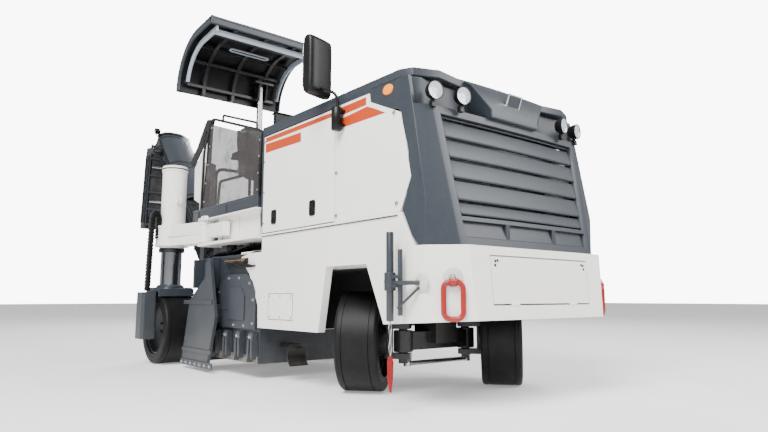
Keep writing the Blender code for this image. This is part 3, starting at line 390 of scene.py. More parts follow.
ground = Finish("pale_floor", (0.90, 0.90, 0.90), 0.85, Emission_Color=(1.0, 1.0, 1.0),
                Emission_Strength=0.30)
ground.put("Base Color", ground.blend(ground.noise(1.3, 5.0).between(0.3, 0.7), (0.80, 0.80, 0.80),
                                      (0.84, 0.84, 0.84)))
floor_mesh.materials.append(ground.material)
print(len(finishes), "finishes")

# %% [markdown]
# ## Dressing the solids
# Each solid of the frame keeps its own mesh and takes the finish of the real plate or
# casting.  Its triangles are loose, so a weld closes them and a small bevel then rounds
# the folded edges, which is what catches the light on sheet metal.

# %% Finish of every solid
wearing = {
    "body_enamel": ["lower_body", "front_hatch"],
    "striped_enamel": ["service_door_right", "service_door_left", "side_panel_right", "side_panel_left"],
    "white_enamel": ["rear_column_right", "rear_column_left", "swing_arm", "swing_bracket"],
    "dark_enamel": ["hood", "grille", "corner_pillar_right", "corner_pillar_left", "rear_bulkhead",
                    "rear_frame", "drum_box", "drum_gearbox", "edge_protector_right",
                    "edge_protector_left", "scraper_blade", "conveyor_turret", "conveyor_lower",
                    "conveyor_upper", "operator_platform", "canopy", "canopy_post",
                    "front_right_rim", "front_left_rim", "rear_right_rim", "rear_left_rim"],
    "black_enamel": ["front_right_knuckle", "front_left_knuckle", "front_axle", "work_lamps_right",
                     "work_lamps_left", "mirror", "platform_subframe", "control_console", "seat_stand",
                     "rear_leg_right", "rear_leg_left"],
    "ground_steel": ["tie_rod", "canopy_mast"],
    "cast_iron": ["engine_block"],
    "dull_alloy": ["radiator"],
    "worn_steel": ["milling_drum"],
    "red_enamel": ["tie_down_eye_right", "tie_down_eye_left"],
    "solid_rubber": ["front_right_tyre", "front_left_tyre", "rear_right_tyre", "rear_left_tyre"],
    "belt_rubber": ["belt_lower", "belt_upper"],
    "smoked_sheet": ["weather_panel"],
    "seat_vinyl": ["operator_seat"],
}
edge_radius = {"lower_body": 0.006, "front_hatch": 0.003, "hood": 0.014, "grille": 0.004,
               "service_door_right": 0.003, "service_door_left": 0.003, "side_panel_right": 0.003,
               "side_panel_left": 0.003, "operator_platform": 0.004, "canopy": 0.006, "mirror": 0.012,
               "drum_box": 0.003, "rear_frame": 0.004, "swing_bracket": 0.003, "swing_arm": 0.005,
               "rear_leg_right": 0.004, "rear_leg_left": 0.004, "rear_column_right": 0.003,
               "rear_column_left": 0.003, "control_console": 0.012, "edge_protector_right": 0.003,
               "edge_protector_left": 0.003, "corner_pillar_right": 0.006, "corner_pillar_left": 0.006,
               "conveyor_lower": 0.002, "conveyor_upper": 0.002, "rear_bulkhead": 0.003,
               "front_right_knuckle": 0.003, "front_left_knuckle": 0.003, "front_axle": 0.003}
for finish, names in wearing.items():
    for name in names:
        solid = nodes[name]
        if solid.material_slots:
            solid.material_slots[0].material = finishes[finish].material
        else:
            solid.data.materials.append(finishes[finish].material)
for name, radius in edge_radius.items():
    weld = nodes[name].modifiers.new("weld", "WELD")
    weld.merge_threshold = 0.00002
    bevel = nodes[name].modifiers.new("fold", "BEVEL")
    bevel.width = radius
    bevel.segments = 2
    bevel.limit_method = "ANGLE"
    bevel.angle_limit = math.radians(32)
    bevel.harden_normals = True
dressed = sum(len(names) for names in wearing.values())
print(dressed, "of", len(nodes), "solids dressed")

# %% [markdown]
# ## Shapes as arrays
# A turned part is a profile carried round an axis, a hose is a circle carried along a
# path, and a pressed plate is an outline given thickness.  Each is one numpy expression
# on a grid of two parameters, so a shape is a pair: points and faces.


# %% Grids, turned shapes, tubes and plates
def grid(points, wrap_u=False, wrap_v=False, lids=False):
    """Quads between neighbours of an (m, n, 3) array of points, wrapped where it closes."""
    rows, columns = points.shape[:2]
    index = np.arange(rows * columns).reshape(rows, columns)
    index = np.vstack([index, index[:1]]) if wrap_u else index
    index = np.hstack([index, index[:, :1]]) if wrap_v else index
    faces = np.stack([index[:-1, :-1], index[1:, :-1], index[1:, 1:], index[:-1, 1:]], axis=-1)
    faces = faces.reshape(-1, 4).tolist()
    if lids:
        faces.append(index[0, :columns][::-1].tolist())
        faces.append(index[rows - 1, :columns].tolist())
    return points.reshape(-1, 3), faces


def together(*shapes):
    """Several shapes as one: the points stacked, each one's faces counted on from the last."""
    start, faces = 0, []
    for points, own in shapes:
        faces += [[corner + start for corner in face] for face in own]
        start += len(points)
    return np.concatenate([points for points, own in shapes]), faces


def axes_for(direction):
    """Two unit vectors square to a direction and to each other."""
    direction = np.asarray(direction, float) / np.linalg.norm(direction)
    helper = np.eye(3)[np.argmin(np.abs(direction))]
    first = np.cross(direction, helper)
    first /= np.linalg.norm(first)
    return direction, first, np.cross(direction, first)


def turned(profile, centre, axis, steps=64):
    """point(s, t) = centre + height(s) axis + radius(s) (cos t first + sin t second)."""
    along, first, second = axes_for(axis)
    radius, height = np.asarray(profile, float).T
    turn = np.linspace(0, 2 * np.pi, steps, endpoint=False)
    ring = np.cos(turn)[:, None] * first + np.sin(turn)[:, None] * second
    points = np.asarray(centre) + height[:, None, None] * along + radius[:, None, None] * ring[None]
    return grid(points, wrap_v=True, lids=True)


def ring(profile, centre, axis, steps=64):
    """The same as turned, but the profile closes on itself, as on a tyre or a washer."""
    points = turned(profile, centre, axis, steps)[0].reshape(len(profile), steps, 3)
    return grid(points, wrap_u=True, wrap_v=True)


def rounded(points, count=60, blur=0.12):
    """A path through corners, resampled evenly and averaged over a share of its length."""
    points = np.asarray(points, float)
    reach = np.concatenate([[0], np.cumsum(np.linalg.norm(np.diff(points, axis=0), axis=1))])
    even = np.linspace(0, reach[-1], count)
    path = np.stack([np.interp(even, reach, points[:, k]) for k in range(3)], axis=1)
    width = max(1, int(count * blur) // 2)
    padded = np.vstack([2 * path[0] - path[width:0:-1], path, 2 * path[-1] - path[-2:-width - 2:-1]])
    window = np.ones(2 * width + 1) / (2 * width + 1)
    smooth = np.stack([np.convolve(padded[:, k], window, "valid") for k in range(3)], axis=1)
    smooth[0], smooth[-1] = path[0], path[-1]
    return smooth


def tube(path, radius, steps=12):
    """point(s, t) = path(s) + radius(s) (cos t side(s) + sin t up(s)), capped at both ends."""
    path = np.asarray(path, float)
    tangent = np.gradient(path, axis=0)
    tangent /= np.linalg.norm(tangent, axis=1, keepdims=True)
    helper = np.eye(3)[np.argmin(np.abs(tangent).max(axis=0))]
    side = np.cross(tangent, helper)
    side /= np.linalg.norm(side, axis=1, keepdims=True)
    up = np.cross(tangent, side)
    turn = np.linspace(0, 2 * np.pi, steps, endpoint=False)
    reach = np.broadcast_to(radius, len(path))[:, None, None]
    circle = np.cos(turn)[None, :, None] * side[:, None] + np.sin(turn)[None, :, None] * up[:, None]
    return grid(path[:, None] + reach * circle, wrap_v=True, lids=True)


def slab(outline, axis, low, high):
    """A flat outline with thickness: (x, z) for "y", (x, y) for "z" and (y, z) for "x"."""
    outline = np.asarray(outline, float)
    order = {"y": (0, 2, 1), "z": (0, 1, 2), "x": (1, 2, 0)}[axis]
    points = np.zeros((2, len(outline), 3))
    points[:, :, order[0]] = outline[:, 0]
    points[:, :, order[1]] = outline[:, 1]
    points[0, :, order[2]] = low
    points[1, :, order[2]] = high
    return grid(points, wrap_v=True, lids=True)


def block(low, high):
    """A box between two corners, whose edges a bevel rounds later."""
    (x0, y0, z0), (x1, y1, z1) = np.minimum(low, high), np.maximum(low, high)
    return slab([(x0, y0), (x1, y0), (x1, y1), (x0, y1)], "z", z0, z1)


def moved(shape, turn=None, shift=(0, 0, 0)):
    """A shape turned by a 3 by 3 matrix and then shifted."""
    points, faces = shape
    points = points if turn is None else points @ np.asarray(turn).T
    return points + np.asarray(shift, float), faces


def from_axle(outline):
    """An outline whose x counts from the front axle, as one in the machine's own x."""
    return [(axle_x + x, z) for x, z in outline]


def mirrored(shape):
    """The same shape on the machine's other side."""
    return shape[0] * (1, -1, 1), shape[1]


def repeated(shape, places):
    """One shape copied to many places: every copy's points are the shape's plus its place."""
    points, faces = shape
    places = np.asarray(places, float)
    spread = (places[:, None] + points[None]).reshape(-1, 3)
    starts = np.arange(len(places)) * len(points)
    return spread, [[corner + start for corner in face] for start in starts.tolist() for face in faces]


def put(name, shape, finish, body="frame", bevel=0.0, segments=2, sharp=32):
    """Makes the mesh, turns its faces outwards, gives it its finish and rides it on a body.

    The slot follows from the finish.  A body of None leaves the piece free.
    """
    points, faces = shape
    mesh = bpy.data.meshes.new(name)
    mesh.from_pydata(points.tolist(), [], faces)
    work = bmesh.new()
    work.from_mesh(mesh)
    bmesh.ops.remove_doubles(work, verts=work.verts, dist=0.00002)
    bmesh.ops.recalc_face_normals(work, faces=work.faces)
    work.to_mesh(mesh)
    work.free()
    mesh.polygons.foreach_set("use_smooth", [True] * len(mesh.polygons))
    mesh.set_sharp_from_angle(angle=math.radians(sharp))
    mesh.materials.append(finishes[finish].material)
    piece = bpy.data.objects.new(name, mesh)
    bpy.context.scene.collection.objects.link(piece)
    if bevel:
        soft = piece.modifiers.new("fold", "BEVEL")
        soft.width = bevel
        soft.segments = segments
        soft.limit_method = "ANGLE"
        soft.angle_limit = math.radians(32)
        soft.harden_normals = True
    if body:
        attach(piece, body)
    return piece


def bolt_heads(places, axis, size=0.009, height=0.006):
    """Hexagon heads on washers: a six-sided profile on a thin round one, copied to places."""
    washer = turned([(size * 1.25, 0), (size * 1.25, 0.0018), (size * 1.1, 0.0022)], (0, 0, 0), axis, 16)
    head = turned([(size, 0.0018), (size, height * 0.85), (size * 0.86, height)], (0, 0, 0), axis, 6)
    return repeated(together(washer, head), places)


print("shape language ready")

# %% [markdown]
# ## Wheels
# The planer stands on four solid rubber tyres pressed onto steel rims.  The tyre is a ring
# whose section has a flat tread, rounded shoulders, a moulded groove near each shoulder and
# a bead that swells over the rim.  The rim is a dished disc with a ring of wheel nuts.

# %% Tyres and rims
tyre_radius, tyre_half, rim_radius = 0.33, 0.14, 0.2353
front_y, rear_y, steer_offset = 0.30, 0.86, 0.26


def tyre_section():
    """(radius, across) round the section: sidewall, shoulder arc, grooved tread, and back."""
    arc = np.linspace(0, np.pi / 2, 7)
    shoulder = np.stack([tyre_radius - 0.024 * (1 - np.sin(arc)), tyre_half - 0.024 * (1 - np.cos(arc))], 1)
    wall = [(rim_radius, 0.128), (rim_radius + 0.004, tyre_half - 0.003), (0.252, tyre_half),
            (0.258, tyre_half - 0.0015), (0.262, tyre_half - 0.0035), (0.266, tyre_half - 0.0015),
            (0.272, tyre_half), (0.292, tyre_half), (0.296, tyre_half - 0.002), (0.300, tyre_half - 0.0005)]
    tread = [(tyre_radius, 0.092), (tyre_radius - 0.005, 0.090), (tyre_radius - 0.005, 0.086),
             (tyre_radius, 0.084)]
    half = np.vstack([wall, shoulder, tread])
    return np.vstack([half, (half * (1, -1))[::-1]])


def rim_section(face):
    """(radius, across) of the dished disc, from the hub's edge out over the flange."""
    return [(0.0, face - 0.099), (0.098, face - 0.099), (0.104, face - 0.094), (0.150, face - 0.082),
            (0.205, face - 0.064), (0.219, face - 0.050), (0.2245, face - 0.010), (0.2245, face + 0.018),
            (0.228, face + 0.022), (0.2352, face + 0.022), (0.2352, -face + 0.004), (0.222, -face + 0.002),
            (0.219, face - 0.090), (0.150, face - 0.106), (0.0, face - 0.124)]


spin = math.radians(-50.0)  # the front wheels rest steered to the right
toe = (math.sin(spin), -math.cos(spin), 0.0)
corners = {
    "front_right": ((axle_x, -front_y, tyre_radius), toe, steer_offset, "front_wheel_right"),
    "front_left": ((axle_x, front_y, tyre_radius), (-toe[0], -toe[1], 0.0), steer_offset,
                   "front_wheel_left"),
    "rear_right": ((rear_axle_x, -rear_y, tyre_radius), (0.0, -1.0, 0.0), 0.0, "rear_wheel_right"),
    "rear_left": ((rear_axle_x, rear_y, tyre_radius), (0.0, 1.0, 0.0), 0.0, "rear_wheel_left"),
}
for name, (pivot, out, reach, body) in corners.items():
    centre = np.asarray(pivot) + reach * np.asarray(out)
    tyre = put(f"{name}_solid_tyre", ring(tyre_section(), centre, out, 96), "solid_rubber", body, sharp=50)
    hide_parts(f"{name}_tyre")
    disc = put(f"{name}_dished_rim", turned(rim_section(0.10), centre, out, 72), "dark_enamel",
               body, sharp=40)
    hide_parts(f"{name}_rim")
    along, first, second = axes_for(out)
    turn = np.linspace(0, 2 * np.pi, 10, endpoint=False)
    circle = 0.125 * (np.cos(turn)[:, None] * first + np.sin(turn)[:, None] * second)
    nuts = bolt_heads(centre + along * 0.0115 + circle, out, 0.013, 0.020)
    cap = turned([(0.062, 0.0), (0.062, 0.016), (0.055, 0.024), (0.020, 0.028)], centre + along * 0.001,
                 out, 32)
    put(f"{name}_nuts_and_hub_cap", together(nuts, cap), "black_enamel", body)
print("four wheels, tread", 2 * tyre_half, "m wide")

# %% [markdown]
# ## The hood and its visor
# One dark moulding covers the engine.  Its sides come down in a straight band, and its front
# reaches out as a visor over two pairs of lamps.  Between the pairs a wedge drops down to
# the grille and carries a blank square badge.  The plan of the visor is an outline with thickness,
# the crowned top is a grid whose height falls off with the square of the distance from the middle.

# %% Hood
hood_rear = axle_x - 1.07


def both_ways(half_outline):
    """An outline given on the right half, from rear to middle, completed on the left."""
    half = np.asarray(half_outline, float)
    return np.vstack([half, (half * (1, -1))[::-1]])


visor_plan = both_ways([(hood_rear, -0.800), (axle_x + 0.545, -0.800), (axle_x + 0.623, -0.761),
                        (axle_x + 0.684, -0.606), (axle_x + 0.652, -0.400), (axle_x + 0.657, -0.20)])
band_plan = both_ways([(hood_rear, -0.7985), (axle_x + 0.285, -0.7985), (axle_x + 0.30, -0.74),
                       (axle_x + 0.30, -0.30)])


def crown():
    """z(x, y) = rim + rise (1 - (y / half)^2), the half width shrinking over the visor."""
    x = np.concatenate([np.linspace(hood_rear + 0.012, axle_x + 0.45, 12),
                        np.linspace(axle_x + 0.50, axle_x + 0.645, 6)])
    ahead = np.clip((x - (axle_x + 0.50)) / 0.145, 0, 1)
    half = 0.782 - 0.17 * ahead ** 1.6
    across = np.linspace(-1, 1, 21)
    height = 1.9405 + (0.036 * (1 - 0.55 * ahead))[:, None] * (1 - across[None] ** 2)
    top = np.stack(np.broadcast_arrays(x[:, None], half[:, None] * across[None], height), axis=-1)
    low = top.copy()
    low[..., 2] = 1.925
    skin, under = grid(top), grid(low)
    rim = np.concatenate([top[0], top[1:, -1], top[-1, -2::-1], top[-2:0:-1, 0]])
    rim_low = rim.copy()
    rim_low[:, 2] = 1.925
    return together(skin, under, grid(np.stack([rim, rim_low]), wrap_v=True))


visor = slab(visor_plan, "z", 1.893, 1.944)
side_band = slab(band_plan, "z", 1.8705, 1.915)
hood = put("hood_moulding", together(crown(), visor, side_band), "dark_enamel", bevel=0.010, segments=3)
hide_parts("hood")

lamp_wall = both_ways([(axle_x + 0.262, -0.797), (axle_x + 0.575, -0.797), (axle_x + 0.618, -0.770),
                       (axle_x + 0.640, -0.715), (axle_x + 0.628, -0.600), (axle_x + 0.602, -0.20)])
put("lamp_bay_wall", slab(lamp_wall, "z", 1.715, 1.8928), "dark_enamel", bevel=0.016, segments=3)


def wedge(y, spread):
    """The wedge's outline in (x, z) at one height of its side: it narrows towards the badge."""
    return [(axle_x + 0.60, y, 1.93), (axle_x + 0.668, y, 1.938), (axle_x + 0.700, y * 0.97, 1.905),
            (axle_x + 0.752, y * spread, 1.765), (axle_x + 0.754, y * spread, 1.712),
            (axle_x + 0.60, y * spread, 1.700)]


sides = np.stack([wedge(-0.37, 0.62), wedge(0.37, 0.62)])
put("badge_wedge", grid(sides, wrap_v=True, lids=True), "dark_enamel", bevel=0.009, segments=3)
lean = np.array([[math.cos(0.38), 0, math.sin(0.38)], [0, 1, 0], [-math.sin(0.38), 0, math.cos(0.38)]])
badge_place = (axle_x + 0.7305, 0.0, 1.838)
badge = moved(block((-0.004, -0.058, -0.058), (0.0035, 0.058, 0.058)), lean, badge_place)
put("blank_badge_field", badge, "dark_enamel", bevel=0.003)
frame_bars = together(block((0.0, -0.066, 0.057), (0.007, 0.066, 0.066)),
                      block((0.0, -0.066, -0.066), (0.007, 0.066, -0.057)),
                      block((0.0, -0.066, -0.0565), (0.007, -0.057, 0.0565)),
                      block((0.0, 0.057, -0.0565), (0.007, 0.066, 0.0565)))
put("badge_frame", moved(frame_bars, lean, badge_place), "bright_trim", bevel=0.0015)
print("hood, visor, wedge and blank badge made")

# %% [markdown]
# ## The grille
# The radiator breathes through six wide louvres in a leaning frame.  Each louvre is a bent strip:
# it leans out at the foot, tucks in under the next one, and is wider near the ground because the
# nose flares.  A strip is a grid between its left and right end, so its ends follow the frame.

# %% Grille frame and louvres
foot = (axle_x + 0.856, 0.638, 0.9005)
head = (axle_x + 0.712, 0.704, 1.712)


def face_x(z):
    """How far forward the grille's front plane lies at a height."""
    return foot[0] + (head[0] - foot[0]) * (z - foot[2]) / (head[2] - foot[2])


def face_half(z):
    """Half the width of the grille's front plane at a height."""
    return foot[1] + (head[1] - foot[1]) * (z - foot[2]) / (head[2] - foot[2])


def strip(z, depth, margin):
    """point(i, t): rows of (z, distance behind the face), each running between the frame's sides."""
    z, depth = np.asarray(z, float), np.asarray(depth, float)
    half = face_half(z) - margin
    across = np.linspace(-1, 1, 33)
    bow = 0.012 * (1 - across ** 2)
    x = (face_x(z) - depth)[:, None] + bow[None]
    return np.stack(np.broadcast_arrays(x, half[:, None] * across[None], z[:, None]), axis=-1)


frame_rows = []
for z in (foot[2], 1.0, 1.163, 1.45, head[2]):
    corner_x = np.interp(z, (0.935, 1.163, 1.721), (0.749, 0.755, 0.655)) + axle_x
    rear_x = np.interp(z, (0.90, 0.95, 1.10, 1.291, 1.679, 1.721),
                       (0.70, 0.665, 0.575, 0.655, 0.572, 0.53)) + axle_x
    half, x = face_half(z), face_x(z)
    frame_rows.append([(rear_x, 0.7990, z), (corner_x, 0.7985, z), (x - 0.004, half, z),
                       (x, half - 0.012, z), (x + 0.001, half - 0.060, z),
                       (x - 0.028, half - 0.072, z), (x - 0.050, half - 0.072, z),
                       (x - 0.052, half - 0.01, z), (corner_x - 0.045, 0.765, z),
                       (rear_x, 0.765, z)])
left_frame = grid(np.asarray(frame_rows), wrap_v=True, lids=True)
top_bar = strip((1.712, 1.712, 1.664, 1.660), (0.052, 0.0, 0.0, 0.030), 0.055)
foot_bar = strip((0.9005, 0.9005, 0.948, 0.952), (0.050, -0.002, -0.001, 0.030), 0.055)
mid_bar = strip((1.040, 1.040, 1.066, 1.070), (0.050, -0.001, 0.000, 0.035), 0.058)
bars = together(*(grid(bar, wrap_u=True, lids=False) for bar in (top_bar, foot_bar, mid_bar)))
posts = together(*(moved(block((-0.030, -0.018, 0.0), (0.006, 0.018, 0.094)), None,
                         (face_x(1.0) - 0.002, y, 0.948)) for y in (-0.215, 0.235)))
grille_frame = put("grille_frame", together(left_frame, mirrored(left_frame), bars, posts), "dark_enamel",
                   bevel=0.005, segments=3)
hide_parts("grille", "corner_pillar_right", "corner_pillar_left")

louvres = []
edges = np.array([1.640, 1.524, 1.404, 1.283, 1.155, 1.072])
for top_z, low_z in zip(edges[:-1], edges[1:]):
    fall = top_z - low_z
    rows = strip((top_z - 0.008, top_z - 0.010 - 0.03 * fall, low_z + 0.014, low_z + 0.005,
                  low_z + 0.006, top_z - 0.014), (0.026, 0.022, 0.008, 0.012, 0.038, 0.046), 0.074)
    louvres.append(grid(rows, wrap_u=True))
cap_strip = grid(strip((1.658, 1.652, 1.646, 1.648), (0.030, 0.016, 0.020, 0.040), 0.074), wrap_u=True)
put("louvres", together(*louvres, cap_strip), "dark_enamel", bevel=0.002, sharp=24)
floor_strip = grid(strip((1.040, 0.950, 0.950, 1.040), (0.022, 0.014, 0.040, 0.045), 0.076), wrap_u=True)
put("lower_grille_panel", floor_strip, "dark_enamel", bevel=0.002)
wires = []
for z in np.arange(0.96, 1.66, 0.020):
    half = face_half(z) - 0.08
    wires.append(tube([(face_x(z) - 0.047, -half, z), (face_x(z) - 0.047, half, z)], 0.0016, 5))
put("grille_mesh_wires", together(*wires), "black_plastic")
dark_side = from_axle([(0.700, 0.9015), (0.749, 0.935), (0.755, 1.163), (0.655, 1.7205),
                       (0.622, 1.892), (0.263, 1.892), (0.274, 1.818), (0.566, 1.688),
                       (0.650, 1.291), (0.564, 1.112), (0.580, 1.085), (0.645, 0.957)])
cheek = slab(dark_side, "y", -0.7990, -0.772)
put("dark_cheeks", together(cheek, mirrored(cheek)), "dark_enamel", bevel=0.004)
print(len(louvres), "louvres between z", edges[-1], "and", edges[0])

# %% [markdown]
# ## Lamps
# Each work lamp is a black bowl on a short swivel foot, with a bright reflector behind a ribbed
# lens.  All of it is turned: the bowl's profile swells from its back to its rim.

# %% Work lamps and side markers
bowls, bright, lenses, feet = [], [], [], []
for side in (-1, 1):
    for x, y in ((0.748, 0.697), (0.777, 0.497)):
        aim = np.array([0.985, side * 0.16, -0.05])
        centre = np.array([axle_x + x - 0.012, side * y, 1.786])
        bowls.append(turned([(0.020, -0.050), (0.036, -0.046), (0.047, -0.030), (0.052, -0.008),
                             (0.054, 0.006), (0.054, 0.011), (0.0505, 0.012), (0.0495, 0.004),
                             (0.020, -0.020)], centre, aim, 40))
        bright.append(turned([(0.004, -0.022), (0.020, -0.016), (0.038, -0.004), (0.0490, 0.0045),
                              (0.0490, 0.0055), (0.036, 0.000), (0.012, 0.000), (0.010, 0.003)],
                             centre, aim, 40))
        lenses.append(turned([(0.0503, 0.0045), (0.0500, 0.0095), (0.035, 0.0130), (0.012, 0.0148)],
                             centre, aim, 40))
        foot_at = centre + (-0.020, 0.0, -0.045)
        stem = tube(rounded([foot_at + (0, 0, 0.004), foot_at - (0, 0, 0.022)], 6), 0.012, 14)
        base = slab([(-0.016, -0.014), (0.016, -0.014), (0.010, 0.020), (-0.010, 0.020)], "y",
                    -0.016, 0.016)
        feet.append(together(stem, moved(base, None, foot_at - (0, 0, 0.034))))
shells = put("lamp_bowls", together(*bowls, *feet), "black_plastic", sharp=40)
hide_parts("work_lamps_right", "work_lamps_left")
put("lamp_reflectors", together(*bright), "lamp_bowl")
put("lamp_lenses", together(*lenses), "clear_lens")
marker = turned([(0.052, -0.004), (0.052, 0.003), (0.046, 0.007), (0.020, 0.010)], (0, 0, 0),
                (0, -1, 0), 36)
oval = moved((marker[0] * (0.9, 1, 0.62), marker[1]), None, (axle_x + 0.443, -0.7995, 1.845))
put("side_markers", together(oval, mirrored(oval)), "amber_plastic")
print(len(bowls), "work lamps, 2 side markers")

# %% [markdown]
# Behind the front wheels the bay is closed by dark plates: a back wall, a front wall and a roof.

# %% Dark lining of the wheel bay
bay_front, bay_back = axle_x + 0.575, axle_x - 0.575
bay_roof = 0.797
lining_plates = [block((bay_back, -0.742, 0.396), (bay_back + 0.004, 0.742, bay_roof)),
                 block((bay_front - 0.004, -0.60, 0.500), (bay_front, 0.60, bay_roof)),
                 block((bay_back, -0.742, 0.793), (bay_front, 0.742, bay_roof))]
put("bay_lining", together(*lining_plates), "black_enamel")
print("bay lined from", round(bay_back, 2), "to", round(bay_front, 2))

# %% [markdown]
# ## Small things on the white panels
# The doors lock with black paddle latches in raised frames.  Domed screws sit near the corners of
# the fixed panel, a folded sill lip runs below the doors, and a bolted cover closes a
# service hole low on the flank.  Every repeated fitting is one shape copied by adding its places.

# %% Latches, screws, sill and cover
def rounded_rectangle(width, height, radius, steps=5):
    """Outline points: four quarter circles of one radius about the inner corners."""
    turn = np.linspace(0, np.pi / 2, steps)
    arcs = []
    for quarter, (across, up) in enumerate(((1, 1), (-1, 1), (-1, -1), (1, -1))):
        angle = turn + quarter * np.pi / 2
        arcs.append(np.stack([across * (width / 2 - radius) + radius * np.cos(angle),
                              up * (height / 2 - radius) + radius * np.sin(angle)], 1))
    return np.vstack(arcs)


def latch(x, z):
    """A paddle latch on the right flank: a frame, a hollow and the paddle over its upper half."""
    outer, inner = rounded_rectangle(0.070, 0.108, 0.016), rounded_rectangle(0.052, 0.090, 0.011)
    levels = [(outer, 0.0), (outer, -0.007), (inner, -0.008), (inner, -0.0015)]
    rows = [[(x + a, -0.8003 + y, z + b) for a, b in outline] for outline, y in levels]
    paddle = [(-0.8010, z - 0.006), (-0.8072, z - 0.002), (-0.8085, z + 0.036), (-0.8010, z + 0.042)]
    lever = slab(paddle, "x", x - 0.021, x + 0.021)
    key = turned([(0.009, 0.0), (0.009, 0.004), (0.007, 0.005)], (x, -0.8015, z - 0.028), (0, -1, 0), 20)
    return together(grid(np.asarray(rows), wrap_v=True, lids=True), lever, key)


for side, flip in (("right", lambda shape: shape), ("left", mirrored)):
    latches = together(latch(axle_x - 0.364, 1.224), latch(axle_x - 0.892, 1.215))
    put(f"door_latches_{side}", flip(latches), "black_plastic", f"service_door_{side}", bevel=0.0015)
    door_screws = bolt_heads([(axle_x - 1.052, -0.8001, z) for z in (1.18, 1.42, 1.66, 1.82)],
                             (0, -1, 0), 0.007, 0.005)
    put(f"door_screws_{side}", flip(door_screws), "ground_steel", f"service_door_{side}")
    screws = bolt_heads([(axle_x + 0.500, -0.8001, 1.690), (axle_x + 0.520, -0.8001, 1.150),
                         (axle_x - 0.080, -0.8001, 1.140), (axle_x - 0.080, -0.8001, 1.420)],
                        (0, -1, 0), 0.011, 0.009)
    put(f"panel_screws_{side}", flip(screws), "ground_steel")
    lip = [(-0.8003, 1.099), (-0.812, 1.097), (-0.8135, 1.086), (-0.8105, 1.083), (-0.8003, 1.084)]
    sill = slab(lip, "x", hood_rear + 0.004, axle_x + 0.528)
    put(f"sill_lip_{side}", flip(sill), "white_enamel", bevel=0.002)
    # Black strips under the sill lip and round the service cover are painted shade: they stand for the
    # shadow in the gaps there.
    gap_shade_strips = [block((hood_rear + 0.004, -0.8050, 1.0775), (axle_x + 0.528, -0.8003, 1.0835))]
    for x0, z0, x1, z1 in ((-0.945, 0.457, -0.599, 0.460), (-0.945, 0.645, -0.599, 0.648),
                           (-0.945, 0.457, -0.942, 0.648), (-0.602, 0.457, -0.599, 0.648)):
        gap_shade_strips.append(block((axle_x + x0, -0.8012, z0), (axle_x + x1, -0.8003, z1)))
    put(f"painted_gap_shade_{side}", flip(together(*gap_shade_strips)), "black_enamel")
    cover = block((axle_x - 0.940, -0.8003, 0.462), (axle_x - 0.604, -0.8022, 0.643))
    put(f"service_cover_{side}", flip(cover), "white_enamel", bevel=0.0008)
    spots = [(axle_x + x, -0.8022, z) for x in (-0.925, -0.772, -0.620) for z in (0.477, 0.628)]
    put(f"cover_screws_{side}", flip(bolt_heads(spots, (0, -1, 0), 0.0065, 0.004)), "ground_steel")
print("latches, screws, sills and covers on both flanks")

# %% [markdown]
# ## Hatch fittings and tie-down eyes
# Three dark screws close each top corner of the nose hatch, and two small hinges carry its
# foot.  On each clipped corner a red forged link hangs from a round plate with a steel pin: the
# link is a tube swept round a closed rounded outline.

# %% Nose
hatch_low, hatch_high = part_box("front_hatch")
nose_lean = 0.03 / (0.90 - 0.495)


def nose_x(z):
    """The leaning nose plate's front at a height."""
    return axle_x + 0.94 - nose_lean * (z - 0.495)


corner_spots = [(nose_x(z) + 0.0004, side * y, z) for side in (-1, 1)
                for y, z in ((0.425, 0.818), (0.405, 0.822), (0.428, 0.795))]
put("hatch_screws", bolt_heads(corner_spots, (1, 0, 0), 0.0062, 0.004), "black_plastic", "front_hatch")
hinge_rolls = [tube([(nose_x(0.580) + 0.001, y - 0.032, 0.580),
                     (nose_x(0.580) + 0.001, y + 0.032, 0.580)], 0.006, 12) for y in (-0.28, 0.28)]
put("hatch_hinge_rolls", together(*hinge_rolls), "white_enamel")


def closed_tube(path, radius, steps=12):
    """point(s, t) round a closed path, its circle carried by the tangent and the path's own normal."""
    path = np.asarray(path, float)
    tangent = np.roll(path, -1, axis=0) - np.roll(path, 1, axis=0)
    tangent /= np.linalg.norm(tangent, axis=1, keepdims=True)
    normal = np.cross(path[len(path) // 4] - path[0], path[len(path) // 2] - path[0])
    normal /= np.linalg.norm(normal)
    side = np.cross(tangent, normal)
    turn = np.linspace(0, 2 * np.pi, steps, endpoint=False)
    circle = np.cos(turn)[None, :, None] * side[:, None] + np.sin(turn)[None, :, None] * normal[None, None]
    return grid(path[:, None] + radius * circle, wrap_u=True, wrap_v=True)


for side, name in ((-1, "right"), (1, "left")):
    out = np.array([math.sqrt(0.5), side * math.sqrt(0.5), 0.0])
    across = np.array([-math.sqrt(0.5), side * math.sqrt(0.5), 0.0])
    face = np.array([axle_x + 0.85, side * 0.69, 0.0]) + out * 0.0005
    outline = rounded_rectangle(0.104, 0.196, 0.038, 8)
    link_path = face + out * 0.020 + np.stack([across * a + np.array([0, 0, 0.603 + b]) for a,
                                               b in outline])
    link = closed_tube(link_path, 0.0145, 14)
    ear = turned([(0.019, -0.021), (0.0245, -0.014), (0.0245, 0.014), (0.019, 0.021)],
                 face + out * 0.020 + (0, 0, 0.699), across, 24)
    eye = put(f"red_link_{name}", together(link, ear), "red_enamel")
    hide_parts(f"tie_down_eye_{name}")
    plate_disc = turned([(0.055, 0.0), (0.055, 0.006), (0.051, 0.009), (0.020, 0.010)],
                        face + (0, 0, 0.722), out, 40)
    put(f"link_plate_{name}", plate_disc, "white_plastic")
    pin = turned([(0.026, 0.010), (0.026, 0.024), (0.021, 0.030), (0.010, 0.031)],
                 face + (0, 0, 0.722), out, 6)
    boss = turned([(0.011, 0.031), (0.011, 0.036), (0.008, 0.038)], face + (0, 0, 0.722), out, 20)
    put(f"link_pin_{name}", together(pin, boss), "ground_steel", bevel=0.001)
